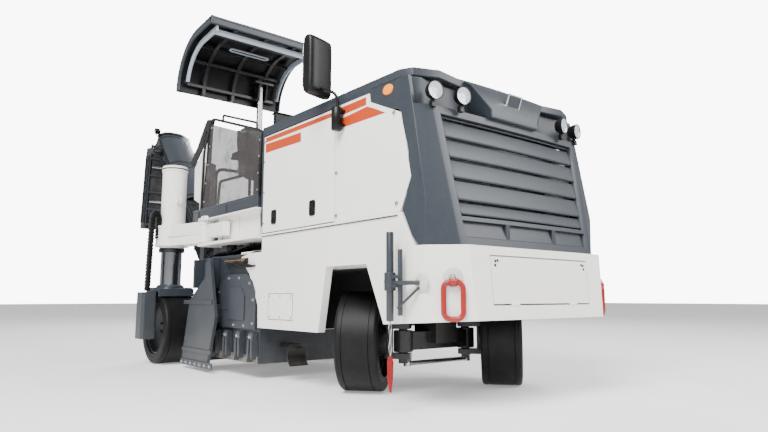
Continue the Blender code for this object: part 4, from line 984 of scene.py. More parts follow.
print("hatch lies between z", round(hatch_low[2], 3), "and", round(hatch_high[2], 3))

# %% [markdown]
# ## The marker pole
# Beside the front wheel arch a grey tube stands in a clamp, held off the flank by an arm with a
# round white foot and a diagonal brace.  A thin steel wire loop and a red rubber tag hang
# from its lower end.

# %% Marker pole
pole_x, pole_y = axle_x + 0.545, -0.872
pole = turned([(0.019, 0.490), (0.021, 0.494), (0.021, 0.974), (0.019, 0.979)],
              (pole_x, pole_y, 0.0), (0, 0, 1), 28)
second = turned([(0.013, 0.520), (0.0135, 0.522), (0.0135, 0.878), (0.012, 0.882)],
                (pole_x + 0.052, pole_y + 0.030, 0.0), (0, 0, 1), 20)
arm = tube([(pole_x, pole_y, 0.697), (pole_x + 0.085, pole_y + 0.010, 0.697),
            (pole_x + 0.176, -0.812, 0.697)], 0.012, 16)
brace = tube([(pole_x + 0.050, pole_y + 0.012, 0.560), (pole_x + 0.175, -0.815, 0.672)], 0.007, 12)
put("marker_pole", together(pole, second, arm, brace), "dark_enamel")
clamp = together(turned([(0.030, 0.655), (0.032, 0.658), (0.032, 0.752), (0.030, 0.755)],
                        (pole_x, pole_y, 0), (0, 0, 1), 28), block((pole_x, pole_y - 0.012, 0.672),
                                                                   (pole_x + 0.060, pole_y + 0.034,
                                                                    0.690)),
                 block((pole_x, pole_y - 0.012, 0.722), (pole_x + 0.060, pole_y + 0.034, 0.740)),
                 moved(bolt_heads([(0, 0, 0)], (-1, 0, 0), 0.010, 0.014), None,
                       (pole_x - 0.032, pole_y, 0.705)))
put("pole_clamp", clamp, "dark_enamel", bevel=0.0015)
disc = turned([(0.050, 0.0), (0.050, 0.006), (0.046, 0.009), (0.018, 0.013)],
              (axle_x + 0.728, -0.8003, 0.697), (0, -1, 0), 40)
put("pole_foot", disc, "white_plastic")
wire_path = rounded([(pole_x, pole_y, 0.500), (pole_x + 0.020, pole_y - 0.006, 0.455),
                     (pole_x + 0.004, pole_y - 0.002, 0.400), (pole_x - 0.012, pole_y, 0.345),
                     (pole_x + 0.002, pole_y, 0.300)], 40)
wire_back = rounded([(pole_x, pole_y, 0.500), (pole_x - 0.020, pole_y + 0.006, 0.450),
                     (pole_x - 0.002, pole_y + 0.002, 0.395), (pole_x + 0.014, pole_y, 0.345),
                     (pole_x + 0.002, pole_y, 0.300)], 40)
hook = closed_tube([(pole_x + 0.012 * math.cos(a), pole_y, 0.498 + 0.012 * math.sin(a))
                    for a in np.linspace(0, 2 * np.pi, 20, endpoint=False)], 0.003, 8)
put("pole_wire", together(tube(wire_path, 0.0022, 8), tube(wire_back, 0.0022, 8), hook), "ground_steel")
tag = slab([(pole_x - 0.014, 0.302), (pole_x + 0.016, 0.302), (pole_x + 0.026, 0.270),
            (pole_x + 0.020, 0.175), (pole_x + 0.008, 0.110), (pole_x - 0.006, 0.115),
            (pole_x - 0.020, 0.180), (pole_x - 0.022, 0.270)], "y", pole_y - 0.004, pole_y + 0.004)
put("red_tag", tag, "red_plastic", bevel=0.002)
print("pole stands from z 0.49 to 0.98")

# %% [markdown]
# ## The mirror
# The driver looks down the right flank in a tall mirror on a bent arm.  Its shell is a squarish
# cushion: every level is a superellipse, sqrt-like at the ends, so the box has soft swelling sides.

# %% Mirror shell, glass and arm
def superellipse(across, deep, power=4.0, steps=48):
    """(x, y) with |x / across|^power + |y / deep|^power = 1."""
    turn = np.linspace(0, 2 * np.pi, steps, endpoint=False)
    c, s = np.cos(turn), np.sin(turn)
    return np.stack([across * np.sign(c) * np.abs(c) ** (2 / power),
                     deep * np.sign(s) * np.abs(s) ** (2 / power)], 1)


mirror_low, mirror_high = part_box("mirror")
shell_at = np.array([axle_x - 0.21, -0.875, 2.160])
levels = np.linspace(-1, 1, 25)
swell = (1 - np.abs(levels) ** 7) ** (1 / 7)
rows = []
for level, size in zip(levels, np.maximum(swell, 0.55)):
    loop = superellipse(0.052 * size, 0.110 * (0.85 + 0.15 * size), 3.6)
    rows.append(np.column_stack([loop, np.full(len(loop), 0.198 * level)]))
turn_out = math.radians(14)
swing = np.array([[math.cos(turn_out), -math.sin(turn_out), 0],
                  [math.sin(turn_out), math.cos(turn_out), 0], [0, 0, 1]])
shell = moved(grid(np.asarray(rows), wrap_v=True, lids=True), swing, shell_at)
arm_path = rounded([(axle_x - 0.03, -0.832, 1.700), (axle_x - 0.03, -0.832, 1.900),
                    (axle_x - 0.045, -0.850, 1.945), (axle_x - 0.150, -0.872, 1.990),
                    (axle_x - 0.200, -0.875, 2.080)], 60, 0.10)
canister = turned([(0.030, 1.690), (0.036, 1.697), (0.036, 1.835), (0.032, 1.842), (0.014, 1.846)],
                  (axle_x - 0.03, -0.8385, 0.0), (0, 0, 1), 32)
straps = together(block((axle_x - 0.072, -0.842, 1.712), (axle_x + 0.012, -0.8003, 1.728)),
                  block((axle_x - 0.072, -0.842, 1.806), (axle_x + 0.012, -0.8003, 1.822)))
glossy = put("mirror_shell", together(shell, tube(arm_path, 0.0105, 14), canister, straps),
             "black_plastic", sharp=50)
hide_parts("mirror")
pane = slab([(y, z) for y, z in rounded_rectangle(0.176, 0.350, 0.040, 8)], "x", -0.0505, -0.0545)
put("mirror_pane", moved(pane, swing, shell_at), "silvered_glass", bevel=0.001)
print("mirror shell between", np.round(mirror_low, 2), np.round(mirror_high, 2))

# %% [markdown]
# ## Orange stripes
# A narrow stripe runs under the roof rail and a broad one below it.  Both break at the door's
# front edge, so that each piece of film rides on the panel that it is painted on, and the broad one
# ends in a point towards the nose.

# %% Stripes
on_door = [[(-1.046, 1.815), (-1.046, 1.852), (-0.140, 1.843), (-0.140, 1.812)],
           [(-1.046, 1.733), (-1.046, 1.803), (-0.531, 1.790), (-0.528, 1.722)]]
on_panel = [[(-0.094, 1.713), (-0.093, 1.771), (0.240, 1.791), (0.306, 1.764), (0.420, 1.709)],
            [(-0.094, 1.796), (-0.094, 1.850), (0.232, 1.854), (0.232, 1.803)]]
for side, name in ((-1, "right"), (1, "left")):
    for body, outlines, word in ((f"service_door_{name}", on_door, "door"), ("frame", on_panel, "panel")):
        films = [slab(from_axle(outline), "y", *sorted((side * 0.7996, side * 0.8010)))
                 for outline in outlines]
        put(f"stripes_{word}_{name}", together(*films), "orange_enamel", body)
print("stripes on", 2 * (len(on_door) + len(on_panel)), "films")

# %% [markdown]
# ## The canopy
# A moulded roof curves from a low rear edge up to a flat front, so it sheds rain behind the
# driver.  Its curve is a quarter ellipse; every strip under it, the pale frame band, the ribs and
# the lining, is the same curve carried inwards along its own normal.

# %% Roof shell, frame band and ribs
canopy_rear, canopy_front, canopy_mid = axle_x - 2.82, axle_x - 2.00, -0.30


def roof_curve(inset, count=40, start=0.0, stop=1.0):
    """(x, z): a quarter ellipse from the rear edge, then a nearly flat run, moved in by inset."""
    angle = np.linspace(0, np.pi / 2, 24)
    x = canopy_rear + 0.508 * (1 - np.cos(angle))
    z = 2.690 + 0.500 * np.sin(angle)
    x, z = np.append(x, np.linspace(x[-1] + 0.03, canopy_front, 10)), np.append(z,
                                                                                np.linspace(3.192,
                                                                                            3.208,
                                                                                            10))
    reach = np.concatenate([[0], np.cumsum(np.hypot(np.diff(x), np.diff(z)))])
    even = reach[-1] * np.linspace(start, stop, count)
    x, z = np.interp(even, reach, x), np.interp(even, reach, z)
    dx, dz = np.gradient(x), np.gradient(z)
    size = np.hypot(dx, dz)
    return np.stack([x + inset * dz / size, z - inset * dx / size], axis=1)


def roof_strip(y_low, y_high, outer, inner, start=0.0, stop=1.0, crown=0.0, columns=2):
    """A curved bar of the roof: outer and inner insets, between two y, crowned across by a parabola."""
    top, low = roof_curve(outer, 40, start, stop), roof_curve(inner, 40, start, stop)
    across = np.linspace(-1, 1, columns)
    y = (y_low + y_high) / 2 + (y_high - y_low) / 2 * across
    lift = crown * (1 - across ** 2)
    sheets = []
    for curve in (top, low):
        x = np.repeat(curve[:, :1], columns, 1)
        z = curve[:, 1:] + lift[None] * 0.6 - 0.6 * crown
        sheets.append(np.stack([x, np.repeat(y[None], len(curve), 0), z], axis=-1))
    loop = np.concatenate([sheets[0], sheets[1][:, ::-1]], axis=1)
    return grid(loop, wrap_v=True, lids=True)


skin = roof_strip(-0.88, 0.28, 0.0, 0.022, crown=0.010, columns=15)
lips = together(roof_strip(-0.880, -0.860, 0.0, 0.065), roof_strip(0.260, 0.280, 0.0, 0.065),
                block((canopy_front - 0.030, -0.88, 3.130), (canopy_front, 0.28, 3.205)))
roof = put("canopy_roof", together(skin, lips), "dark_enamel", "canopy", bevel=0.006, segments=3)
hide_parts("canopy")
pale = together(roof_strip(-0.815, -0.795, 0.072, 0.128, 0.10, 0.97),
                roof_strip(0.195, 0.215, 0.072, 0.128, 0.10, 0.97),
                block((canopy_front - 0.095, -0.813, 3.066), (canopy_front - 0.078, 0.213, 3.122)))
put("canopy_frame_band", pale, "pale_frame", "canopy", bevel=0.003)
inside = roof_strip(-0.857, 0.257, 0.0235, 0.0275)
put("canopy_inside", inside, "black_plastic", "canopy")
ribs = [roof_strip(y - 0.018, y + 0.018, 0.022, 0.085, 0.0, 0.98) for y in (-0.62, -0.30, 0.02)]
crossing = []
rib_line = roof_curve(0.066)
for share in (0.10, 0.34, 0.56, 0.80):
    x, z = rib_line[int(share * (len(rib_line) - 1))]
    crossing.append(block((x - 0.020, -0.80, z - 0.016), (x + 0.020, 0.20, z + 0.016)))
put("canopy_ribs", together(*ribs, *crossing), "black_enamel", "canopy", bevel=0.003)
lining = roof_strip(-0.60, 0.00, 0.036, 0.052, 0.40, 0.92, 0.004, 9)
put("canopy_lining", lining, "black_plastic", "canopy", bevel=0.004)
spot = roof_curve(0.098, 40)[25]
handle = [(spot[0] + b, canopy_mid + a, spot[1]) for a, b in rounded_rectangle(0.42, 0.060, 0.028, 7)]
put("canopy_handle", closed_tube(handle, 0.008, 10), "pale_frame", "canopy")
ear = from_axle([(-2.74, 2.90), (-2.62, 2.90), (-2.66, 2.74), (-2.71, 2.74)])
mount_plate = together(block((axle_x - 2.76, -0.11, 2.900), (axle_x - 2.60, 0.11, 2.925)),
                       slab(ear, "y", -0.052, -0.040), slab(ear, "y", 0.040, 0.052))
put("canopy_bracket", mount_plate, "black_enamel", "canopy", bevel=0.003)
print("canopy from x", canopy_rear, "to", canopy_front)

# %% [markdown]
# ## Round columns, leg tubes and forks
# Each rear leg is a steel tube that slides in a painted column.  The column wears a bolted cap,
# and the tube ends in a welded fork box over the wheel, with a plate down each side of the tyre.

# %% Columns and legs
for side, name in ((-1, "right"), (1, "left")):
    x, y = rear_axle_x, side * rear_y
    body = "column_right" if side < 0 else "frame"
    cap = turned([(0.1155, 1.842), (0.122, 1.845), (0.122, 1.862), (0.1155, 1.866), (0.1155, 1.876),
                  (0.119, 1.879), (0.119, 1.893), (0.112, 1.900), (0.050, 1.904), (0.046, 1.912),
                  (0.020, 1.914)], (x, y, 0), (0, 0, 1), 64)
    turn = np.linspace(0, 2 * np.pi, 8, endpoint=False)
    ring_spots = np.stack([x + 0.085 * np.cos(turn), y + 0.085 * np.sin(turn), np.full(8, 1.9005)], 1)
    put(f"column_cap_{name}", cap, "white_enamel", body, sharp=40)
    put(f"column_bolts_{name}", bolt_heads(ring_spots, (0, 0, 1), 0.010, 0.012), "black_enamel", body)
    seal = turned([(0.1155, 1.050), (0.1200, 1.052), (0.1200, 1.085), (0.1155, 1.090)], (x, y, 0),
                  (0, 0, 1), 64)
    put(f"column_seal_{name}", seal, "black_enamel", body)
    groove = ring([(0.1157, 1.8665), (0.1195, 1.8665), (0.1195, 1.8755), (0.1157, 1.8755)],
                  (x, y, 0), (0, 0, 1), 64)
    lug = together(block((x + 0.112, y - 0.022, 1.52), (x + 0.150, y - 0.010, 1.58)),
                   block((x + 0.112, y + 0.010, 1.52), (x + 0.150, y + 0.022, 1.58)))
    put(f"column_groove_{name}", groove, "black_enamel", body)
    put(f"column_lug_{name}", lug, "white_enamel", body, bevel=0.003)
    leg = turned([(0.0970, 0.690), (0.0972, 0.700), (0.0972, 1.44), (0.090, 1.45)], (x, y, 0),
                 (0, 0, 1), 72)
    put(f"leg_tube_{name}", leg, "leg_steel", f"leg_{name}")
    box_outline = [(x - 0.170, 0.673), (x + 0.170, 0.673), (x + 0.170, 0.690), (x + 0.120, 0.712),
                   (x - 0.120, 0.712), (x - 0.170, 0.690)]
    crown_box = slab(box_outline, "y", y - 0.168, y + 0.168)
    collar = turned([(0.128, 0.708), (0.128, 0.722), (0.112, 0.736), (0.0974, 0.740)], (x, y, 0),
                    (0, 0, 1), 48)
    inner_plate = slab([(x - 0.12, 0.690), (x + 0.12, 0.690), (x + 0.11, 0.45), (x + 0.06, 0.26),
                        (x - 0.06, 0.26), (x - 0.11, 0.45)], "y", y - side * 0.153,
                       y - side * 0.178)
    motor = turned([(0.0, 0.0), (0.099, 0.0), (0.099, 0.115), (0.085, 0.125), (0.0, 0.126)],
                   (x, y - side * 0.153, 0.33), (0, side, 0), 40)
    guard = slab([(x - 0.080, 0.700), (x + 0.080, 0.700), (x + 0.080, 0.34), (x + 0.055, 0.245),
                  (x - 0.045, 0.222), (x - 0.080, 0.235)], "y", y + side * 0.153, y + side * 0.165)
    hood_plate = [(x + 0.080, y + side * 0.153), (x + 0.080, y + side * 0.262),
                  (x + 0.060, y + side * 0.283), (x - 0.080, y + side * 0.283),
                  (x - 0.080, y + side * 0.272), (x + 0.055, y + side * 0.272),
                  (x + 0.069, y + side * 0.256), (x + 0.069, y + side * 0.153)]
    wrap = slab(hood_plate, "z", 0.235, 0.660)
    lid = block((x - 0.080, y + side * 0.150, 0.655), (x + 0.080, y + side * 0.283, 0.668))
    ends = [block((x + end - 0.010, y - 0.168, 0.628), (x + end + 0.010, y + 0.168, 0.700))
            for end in (-0.168, 0.168)]
    fork = put(f"leg_fork_{name}", together(*ends, crown_box, collar, inner_plate, motor, guard,
                                            wrap, lid), "dark_enamel", f"leg_{name}", bevel=0.004)
    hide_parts(f"rear_leg_{name}")
    hoses = []
    for offset in (0.0, 0.028, 0.056):
        route = [(x - 0.060, y + side * (0.185 + offset), 0.640),
                 (x - 0.092, y + side * (0.195 + offset), 0.560),
                 (x - 0.120, y + side * (0.205 + offset * 0.8), 0.420),
                 (x - 0.095, y + side * (0.200 + offset * 0.6), 0.285),
                 (x - 0.040, y + side * (0.180 + offset * 0.4), 0.255)]
        hoses.append(tube(rounded(route, 44, 0.2), 0.0105, 12))
    put(f"leg_hoses_{name}", together(*hoses), "hose_rubber", f"leg_{name}")
print("two columns 1.9 m high with forks at z 0.67")

# %% [markdown]
# ## The cable chain
# Hoses reach the moving leg through a chain of hinged links that hangs in a loop beside the
# column.  The links show as regular ribs: the section of a rectangle is carried down the path and
# swells where each link is.

# %% Cable chain
def chain(path, wide, deep, links):
    """A rectangle along a path in a plane of constant x; the size swells by a square wave of links."""
    path = np.asarray(path, float)
    tangent = np.gradient(path, axis=0)
    tangent /= np.linalg.norm(tangent, axis=1, keepdims=True)
    normal = np.cross(tangent, (1.0, 0.0, 0.0))
    swell = 1.0 + 0.16 * (np.sin(np.linspace(0, 2 * np.pi * links, len(path))) > -0.2)
    loop = rounded_rectangle(wide, deep, min(wide, deep) * 0.2, 3)
    points = path[:, None] + swell[:, None, None] * (loop[None, :,
                                                          :1] * np.array([1.0, 0, 0]) + loop[None,
                                                                                             :,
                                                                                             1:] *
                                                     normal[:, None])
    return grid(points, wrap_v=True, lids=True)


loop_path = rounded([(rear_axle_x, -1.000, 1.18), (rear_axle_x, -1.001, 1.385),
                     (rear_axle_x, -1.010, 1.438), (rear_axle_x, -1.042, 1.448),
                     (rear_axle_x, -1.062, 1.400), (rear_axle_x, -1.066, 1.200),
                     (rear_axle_x, -1.078, 0.680)], 260, 0.10)
links = put("cable_chain", chain(loop_path, 0.062, 0.038, 34), "black_plastic", None, sharp=25)
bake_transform(links)
clips = together(block((rear_axle_x - 0.032, -1.012, 1.185), (rear_axle_x + 0.032, -0.974, 1.205)),
                 block((rear_axle_x - 0.032, -1.012, 1.300), (rear_axle_x + 0.032, -0.974, 1.320)))
put("chain_clips", clips, "white_enamel", "column_right", bevel=0.002)
print("chain", round(float(np.linalg.norm(np.diff(loop_path, axis=0), axis=1).sum()), 2), "m long")

# %% [markdown]
# ## The swing arm's joint
# The leg swings in under the deck about a thick pin.  Round flanges close the pin at the top and
# bottom, gussets stiffen the bracket, and bolts ring the flange.

# %% Pivot flanges, gussets and rear brackets
pivot_x, pivot_y = axle_x - 2.15, -0.78
flange = turned([(0.066, 1.3125), (0.092, 1.3126), (0.092, 1.324), (0.070, 1.328), (0.066, 1.345),
                 (0.055, 1.350), (0.020, 1.352)], (pivot_x, pivot_y + 0.012, 0), (0, 0, 1), 48)
turn = np.linspace(0, 2 * np.pi, 6, endpoint=False)
flange_spots = np.stack([pivot_x + 0.080 * np.cos(turn), pivot_y + 0.012 + 0.080 * np.sin(turn),
                         np.full(6, 1.3245)], 1)
put("pivot_flange", flange, "white_enamel", sharp=40)
put("pivot_bolts", bolt_heads(flange_spots, (0, 0, 1), 0.008, 0.008), "ground_steel")
barrel = turned([(0.0625, 1.108), (0.071, 1.110), (0.071, 1.135), (0.0655, 1.140), (0.0655, 1.262),
                 (0.071, 1.268), (0.071, 1.294), (0.0625, 1.297)], (pivot_x, pivot_y, 0), (0, 0, 1),
                48)
collar = ring([(0.1525, 1.104), (0.156, 1.108), (0.156, 1.128), (0.152, 1.132), (0.152, 1.272),
               (0.156, 1.276), (0.156, 1.297), (0.1525, 1.301), (0.1157, 1.301), (0.1157, 1.104)],
              (rear_axle_x, -rear_y, 0), (0, 0, 1), 64)
rib = slab([(pivot_x - 0.05, -0.838), (pivot_x - 0.07, -0.842), (rear_axle_x + 0.13, -0.950),
            (rear_axle_x + 0.15, -0.938)], "z", 1.190, 1.210)
put("swing_arm_welds", together(barrel, collar, rib), "white_enamel", "swing_arm", bevel=0.002)
gussets = []
for x0 in (pivot_x + 0.30, pivot_x + 0.62):
    gussets.append(slab([(-0.772, 1.10), (-0.800, 1.10), (-0.800, 1.13), (-0.776, 1.29)], "x", x0,
                        x0 + 0.014))
wing = slab(from_axle([(-1.080, 0.392), (-1.112, 0.388), (-1.120, 0.560), (-1.195, 0.690),
                       (-1.268, 0.801), (-1.414, 0.918), (-1.414, 0.940), (-1.20, 0.978),
                       (-1.072, 0.978)]), "y", -0.797, -0.783)
ledge = block((axle_x - 1.42, -0.797, 0.962), (axle_x - 1.074, -0.66, 0.978))
put("rear_brackets", together(*gussets, wing, ledge, mirrored(wing), mirrored(ledge)),
    "white_enamel", bevel=0.002)
post_at = (axle_x - 2.335, -0.712)
second_post = turned([(0.066, 1.3375), (0.068, 1.34), (0.068, 1.815), (0.073, 1.818),
                      (0.073, 1.832), (0.068, 1.836), (0.068, 1.852), (0.072, 1.855),
                      (0.072, 1.868), (0.060, 1.876), (0.020, 1.880)], (*post_at, 0), (0, 0, 1), 48)
put("second_post", second_post, "white_enamel", sharp=40)
plates = [block((pivot_x - 0.06, -0.846, 1.300), (axle_x - 1.10, -0.62, 1.3125)),
          block((pivot_x - 0.02, -0.853, 1.070), (axle_x - 1.075, -0.60, 1.082))]
put("bracket_lips", together(*plates), "white_enamel", bevel=0.003)
tank = block((pivot_x + 0.17, -0.8535, 1.135), (pivot_x + 0.50, -0.79, 1.255))
put("bracket_box", tank, "white_enamel", bevel=0.010, segments=3)
clutter = []
for i in range(7):
    y = -0.70 + 0.033 * i
    route = [(-0.22, y, 0.985 + 0.012 * (i % 2)), (0.02, y + 0.012, 1.020),
             (0.20, y - 0.010, 0.995), (0.42, y + 0.006, 1.030), (0.60, y, 1.050)]
    clutter.append(tube(rounded(route, 60, 0.15), 0.011, 12))
put("deck_hoses", together(*clutter), "hose_rubber")
pump = turned([(0.0, 0.0), (0.042, 0.0), (0.042, 0.10), (0.050, 0.104), (0.050, 0.120),
               (0.030, 0.128), (0.030, 0.17), (0.0, 0.171)], (0.12, -0.70, 1.035), (1, 0, 0), 28)
put("swing_pump", pump, "black_enamel", sharp=40)
print(len(gussets), "gussets, wing plates on both sides")

# %% [markdown]
# ## The driver's platform
# The driver rides on a deck behind the engine.  Its tray has a folded rim, a ribbed floor, an
# anti-slip step, a console with levers and a blank display, a weather panel of smoked sheet in a
# tube frame and, towards the rear, a black diagonal guard that carries the platform's rail.

# %% Deck, rails and weather-panel frame
deck_front, deck_rear = axle_x - 1.150, axle_x - 2.440
rim = [block((deck_rear, -0.8045, 1.402), (deck_front, -0.786, 1.428)),
       block((deck_rear, 0.786, 1.402), (deck_front, 0.8045, 1.428)),
       block((deck_rear - 0.003, -0.8045, 1.402), (deck_rear + 0.016, 0.8045, 1.428))]
put("deck_rim", together(*rim), "dark_enamel", bevel=0.006, segments=3)
ribs = [block((deck_rear + 0.05 + 0.055 * i, -0.74, 1.3372), (deck_rear + 0.062 + 0.055 * i, 0.74,
                                                              1.3405)) for i in range(21)]
put("deck_ribs", together(*ribs), "dark_enamel", bevel=0.001)
seam_blocks = [block((deck_rear + 0.12, -0.8055, 1.325), (deck_rear + 0.14, -0.799, 1.402)),
               block((deck_rear + 0.70, -0.8055, 1.325), (deck_rear + 0.72, -0.799, 1.402)),
               block((deck_rear + 0.14, -0.803, 1.318), (deck_front, -0.799, 1.330))]
put("deck_seams", together(*seam_blocks), "dark_enamel", bevel=0.003)
panel_corners = [(axle_x - 1.145, -0.794, 1.424), (axle_x - 1.120, -0.794, 1.900),
                 (axle_x - 2.108, -0.794, 2.226), (axle_x - 2.240, -0.794, 1.424)]
edge_strip = []
for first, second in ((0, 1), (3, 2)):
    a, b = np.array(panel_corners[first]), np.array(panel_corners[second])
    edge_strip.append(tube(np.linspace(a, b, 12), 0.0085, 10))
put("panel_edge_trim", together(*edge_strip), "black_plastic")
screws = []
for first, second, count in ((0, 1, 4), (3, 2, 5)):
    a, b = np.array(panel_corners[first]), np.array(panel_corners[second])
    inward = np.array([0.028 if first else -0.028, 0, 0])
    screws += [a + (b - a) * t + inward + np.array([0, -0.0045, 0]) for t in np.linspace(0.08, 0.92, count)]
put("panel_screws", bolt_heads(np.array(screws), (0, -1, 0), 0.0075, 0.006), "ground_steel")
top_a, top_b = np.array(panel_corners[1]), np.array(panel_corners[2])
along = (top_b - top_a) / np.linalg.norm(top_b - top_a)
rail_lift = np.array([0, 0.004, 0.030])
handrail = rounded([top_a + (0.02, 0, 0.000), top_a + along * 0.05 + rail_lift,
                    top_b - along * 0.05 + rail_lift, top_b + rail_lift + (-0.02, 0, -0.010),
                    (axle_x - 2.262, -0.790, 1.98), (axle_x - 2.300, -0.782, 1.430)], 140, 0.06)
put("weather_rail", tube(handrail, 0.0115, 14), "black_enamel")
handle_bar = rounded([top_a + along * 0.10 + (0, 0, 0.020), top_a + along * 0.10 + (0, 0, 0.085),
                      top_a + along * 0.78 + (0, 0, 0.085), top_a + along * 0.78 + (0, 0, 0.020)],
                     90, 0.05)
put("weather_handle", tube(handle_bar, 0.010, 12), "black_enamel")
lower_rail = rounded([(axle_x - 1.35, -0.776, 1.440), (axle_x - 1.35, -0.776, 1.62),
                      (axle_x - 1.92, -0.776, 1.64), (axle_x - 1.95, -0.776, 1.440)], 90, 0.08)
put("deck_loop", tube(lower_rail, 0.012, 12), "pale_frame")
guard_outline = from_axle([(-2.150, 2.262), (-2.262, 2.285), (-2.300, 2.255), (-2.475, 2.060),
                           (-2.640, 1.925), (-2.595, 1.885), (-2.420, 2.020), (-2.275, 2.180),
                           (-2.235, 2.150), (-2.270, 1.430), (-2.240, 1.430), (-2.190, 2.200)])
put("diagonal_guard", slab(guard_outline, "y", -0.775, -0.735), "black_enamel", bevel=0.008)
white_cheek = from_axle([(-2.262, 2.140), (-2.590, 1.870), (-2.575, 1.560), (-2.262, 1.435)])
put("post_cheek", slab(white_cheek, "y", -0.742, -0.734), "white_enamel", bevel=0.002)
left_rail = rounded([(deck_rear + 0.06, 0.775, 1.430), (deck_rear + 0.06, 0.775, 2.20),
                     (deck_rear + 0.55, 0.775, 2.24), (deck_rear + 0.60, 0.775, 1.430)], 120, 0.10)
rear_rail = rounded([(deck_rear + 0.03, -0.60, 1.430), (deck_rear + 0.03, -0.60, 1.86),
                     (deck_rear + 0.03, 0.10, 1.86), (deck_rear + 0.03, 0.10, 1.430)], 120, 0.10)
put("deck_rails", together(tube(left_rail, 0.0165, 14), tube(rear_rail, 0.0165, 14)), "black_enamel")
rungs = []
for z in (1.12, 0.86, 0.60):
    rungs.append(rounded([(axle_x - 2.02, 0.790, z + 0.03), (axle_x - 2.02, 0.855, z),
                          (axle_x - 1.66, 0.855, z), (axle_x - 1.66, 0.790, z + 0.03)], 60, 0.05))
stiles = [tube(np.linspace((x, 0.795, 0.56), (x, 0.795, 1.30), 10), 0.013, 12)
          for x in (axle_x - 2.02, axle_x - 1.66)]
put("boarding_steps", together(*[tube(path, 0.011, 12) for path in rungs], *stiles), "black_enamel")
print("deck from x", round(deck_rear, 2), "to", round(deck_front, 2))

# %% [markdown]
# ## Console, levers and displays
# Everything the driver needs is on one sloping console and two armrest pods: a joystick with a
# moulded grip, rows of push buttons, a blank display and a round emergency button.

# %% Console
def joystick(foot, lean, tall=0.16):
    """A bellows, a thin steel stem and a moulded grip turned about the leaning axis."""
    foot, axis = np.asarray(foot, float), np.asarray(lean, float)
    boot = turned([(0.034, 0.0), (0.034, 0.006), (0.028, 0.010), (0.031, 0.014), (0.024, 0.020),
                   (0.026, 0.024), (0.018, 0.032), (0.019, 0.036), (0.011, 0.046), (0.0, 0.047)],
                  foot, axis, 28)
    stem = turned([(0.006, 0.03), (0.006, tall * 0.62)], foot, axis, 16)
    grip = turned([(0.0, tall * 0.48), (0.013, tall * 0.49), (0.017, tall * 0.56),
                   (0.014, tall * 0.66), (0.018, tall * 0.78), (0.022, tall * 0.90),
                   (0.021, tall * 0.98), (0.012, tall * 1.03), (0.0, tall * 1.04)], foot, axis, 24)
    return together(boot, stem, grip)


desk_x = axle_x - 1.37
face = [(desk_x + 0.158, 1.950), (desk_x + 0.164, 1.972), (desk_x + 0.150, 1.984),
        (desk_x - 0.040, 1.905), (desk_x - 0.048, 1.880), (desk_x + 0.000, 1.870),
        (desk_x + 0.040, 1.900)]
put("console_top", slab(face, "y", -0.555, 0.255), "black_plastic", bevel=0.008, segments=3)
slope = np.array([0.190, 0.0, 0.079])
slope /= np.linalg.norm(slope)
up = np.array([-slope[2], 0.0, slope[0]])
rows, columns = 3, 9
buttons = [np.array([desk_x - 0.015, -0.46 + 0.052 * column, 1.916]) + slope * (0.030 + 0.034 * row)
           for row in range(rows) for column in range(columns)]
knob = turned([(0.0105, -0.002), (0.0105, 0.004), (0.009, 0.0065), (0.0, 0.007)], (0, 0, 0), up, 18)
put("console_buttons", repeated(knob, np.array(buttons)), "white_plastic")
stop_at = np.array([desk_x + 0.02, 0.16, 1.933])
stop_button = turned([(0.012, 0.0), (0.012, 0.018), (0.021, 0.022), (0.021, 0.030), (0.014, 0.036),
                      (0.0, 0.038)], stop_at, up, 28)
put("stop_button", stop_button, "red_plastic")
stick = joystick((desk_x + 0.02, 0.06, 1.930), up)
put("console_stick", stick, "black_plastic", sharp=50)
shell = block((desk_x + 0.085, -0.610, 1.985), (desk_x + 0.125, -0.395, 2.135))
arm_tube = tube(rounded([(desk_x + 0.12, -0.50, 1.965), (desk_x + 0.125, -0.50, 2.00),
                         (desk_x + 0.115, -0.50, 2.04)], 24, 0.3), 0.014, 12)
put("display_shell", together(shell, arm_tube), "black_plastic", bevel=0.010, segments=3)
glass = block((desk_x + 0.0835, -0.595, 2.005), (desk_x + 0.0850, -0.410, 2.120))
put("display_glass", glass, "smoked_sheet", bevel=0.0005)
hood_lip = slab([(desk_x + 0.055, 2.140), (desk_x + 0.130, 2.146), (desk_x + 0.130, 2.152),
                 (desk_x + 0.055, 2.146)], "y", -0.615, -0.390)
put("display_hood", hood_lip, "black_plastic", bevel=0.002)
pods = []
for y in (-0.545, 0.005):
    pods.append(block((axle_x - 2.20, y, 1.925), (axle_x - 1.92, y + 0.085, 1.985)))
    pods.append(block((axle_x - 2.275, y + 0.025, 1.935), (axle_x - 2.19, y + 0.060, 1.965)))
pods.append(block((axle_x - 2.275, -0.52, 1.937), (axle_x - 2.252, 0.065, 1.963)))
put("armrest_pods", together(*pods), "black_plastic", "operator_seat", bevel=0.014, segments=3)
sticks = [joystick((axle_x - 1.965, y + 0.042, 1.985), (0, 0, 1), 0.15) for y in (-0.545, 0.005)]
put("armrest_sticks", together(*sticks), "black_plastic", "operator_seat", sharp=50)
print(len(buttons), "buttons")

# %% [markdown]
# ## The driver's seat
# Each cushion is a vinyl cover filled with foam: flat panels would look like a box, so the cover
# is sewn closed, blown up by a little pressure, and then
# smoothed.  A rolled seam runs round each edge, and the shell behind is moulded plastic.

# %% Cushions
def signed(base, exponent):
    """A power that keeps its base's sign."""
    return np.sign(base) * np.abs(base) ** exponent


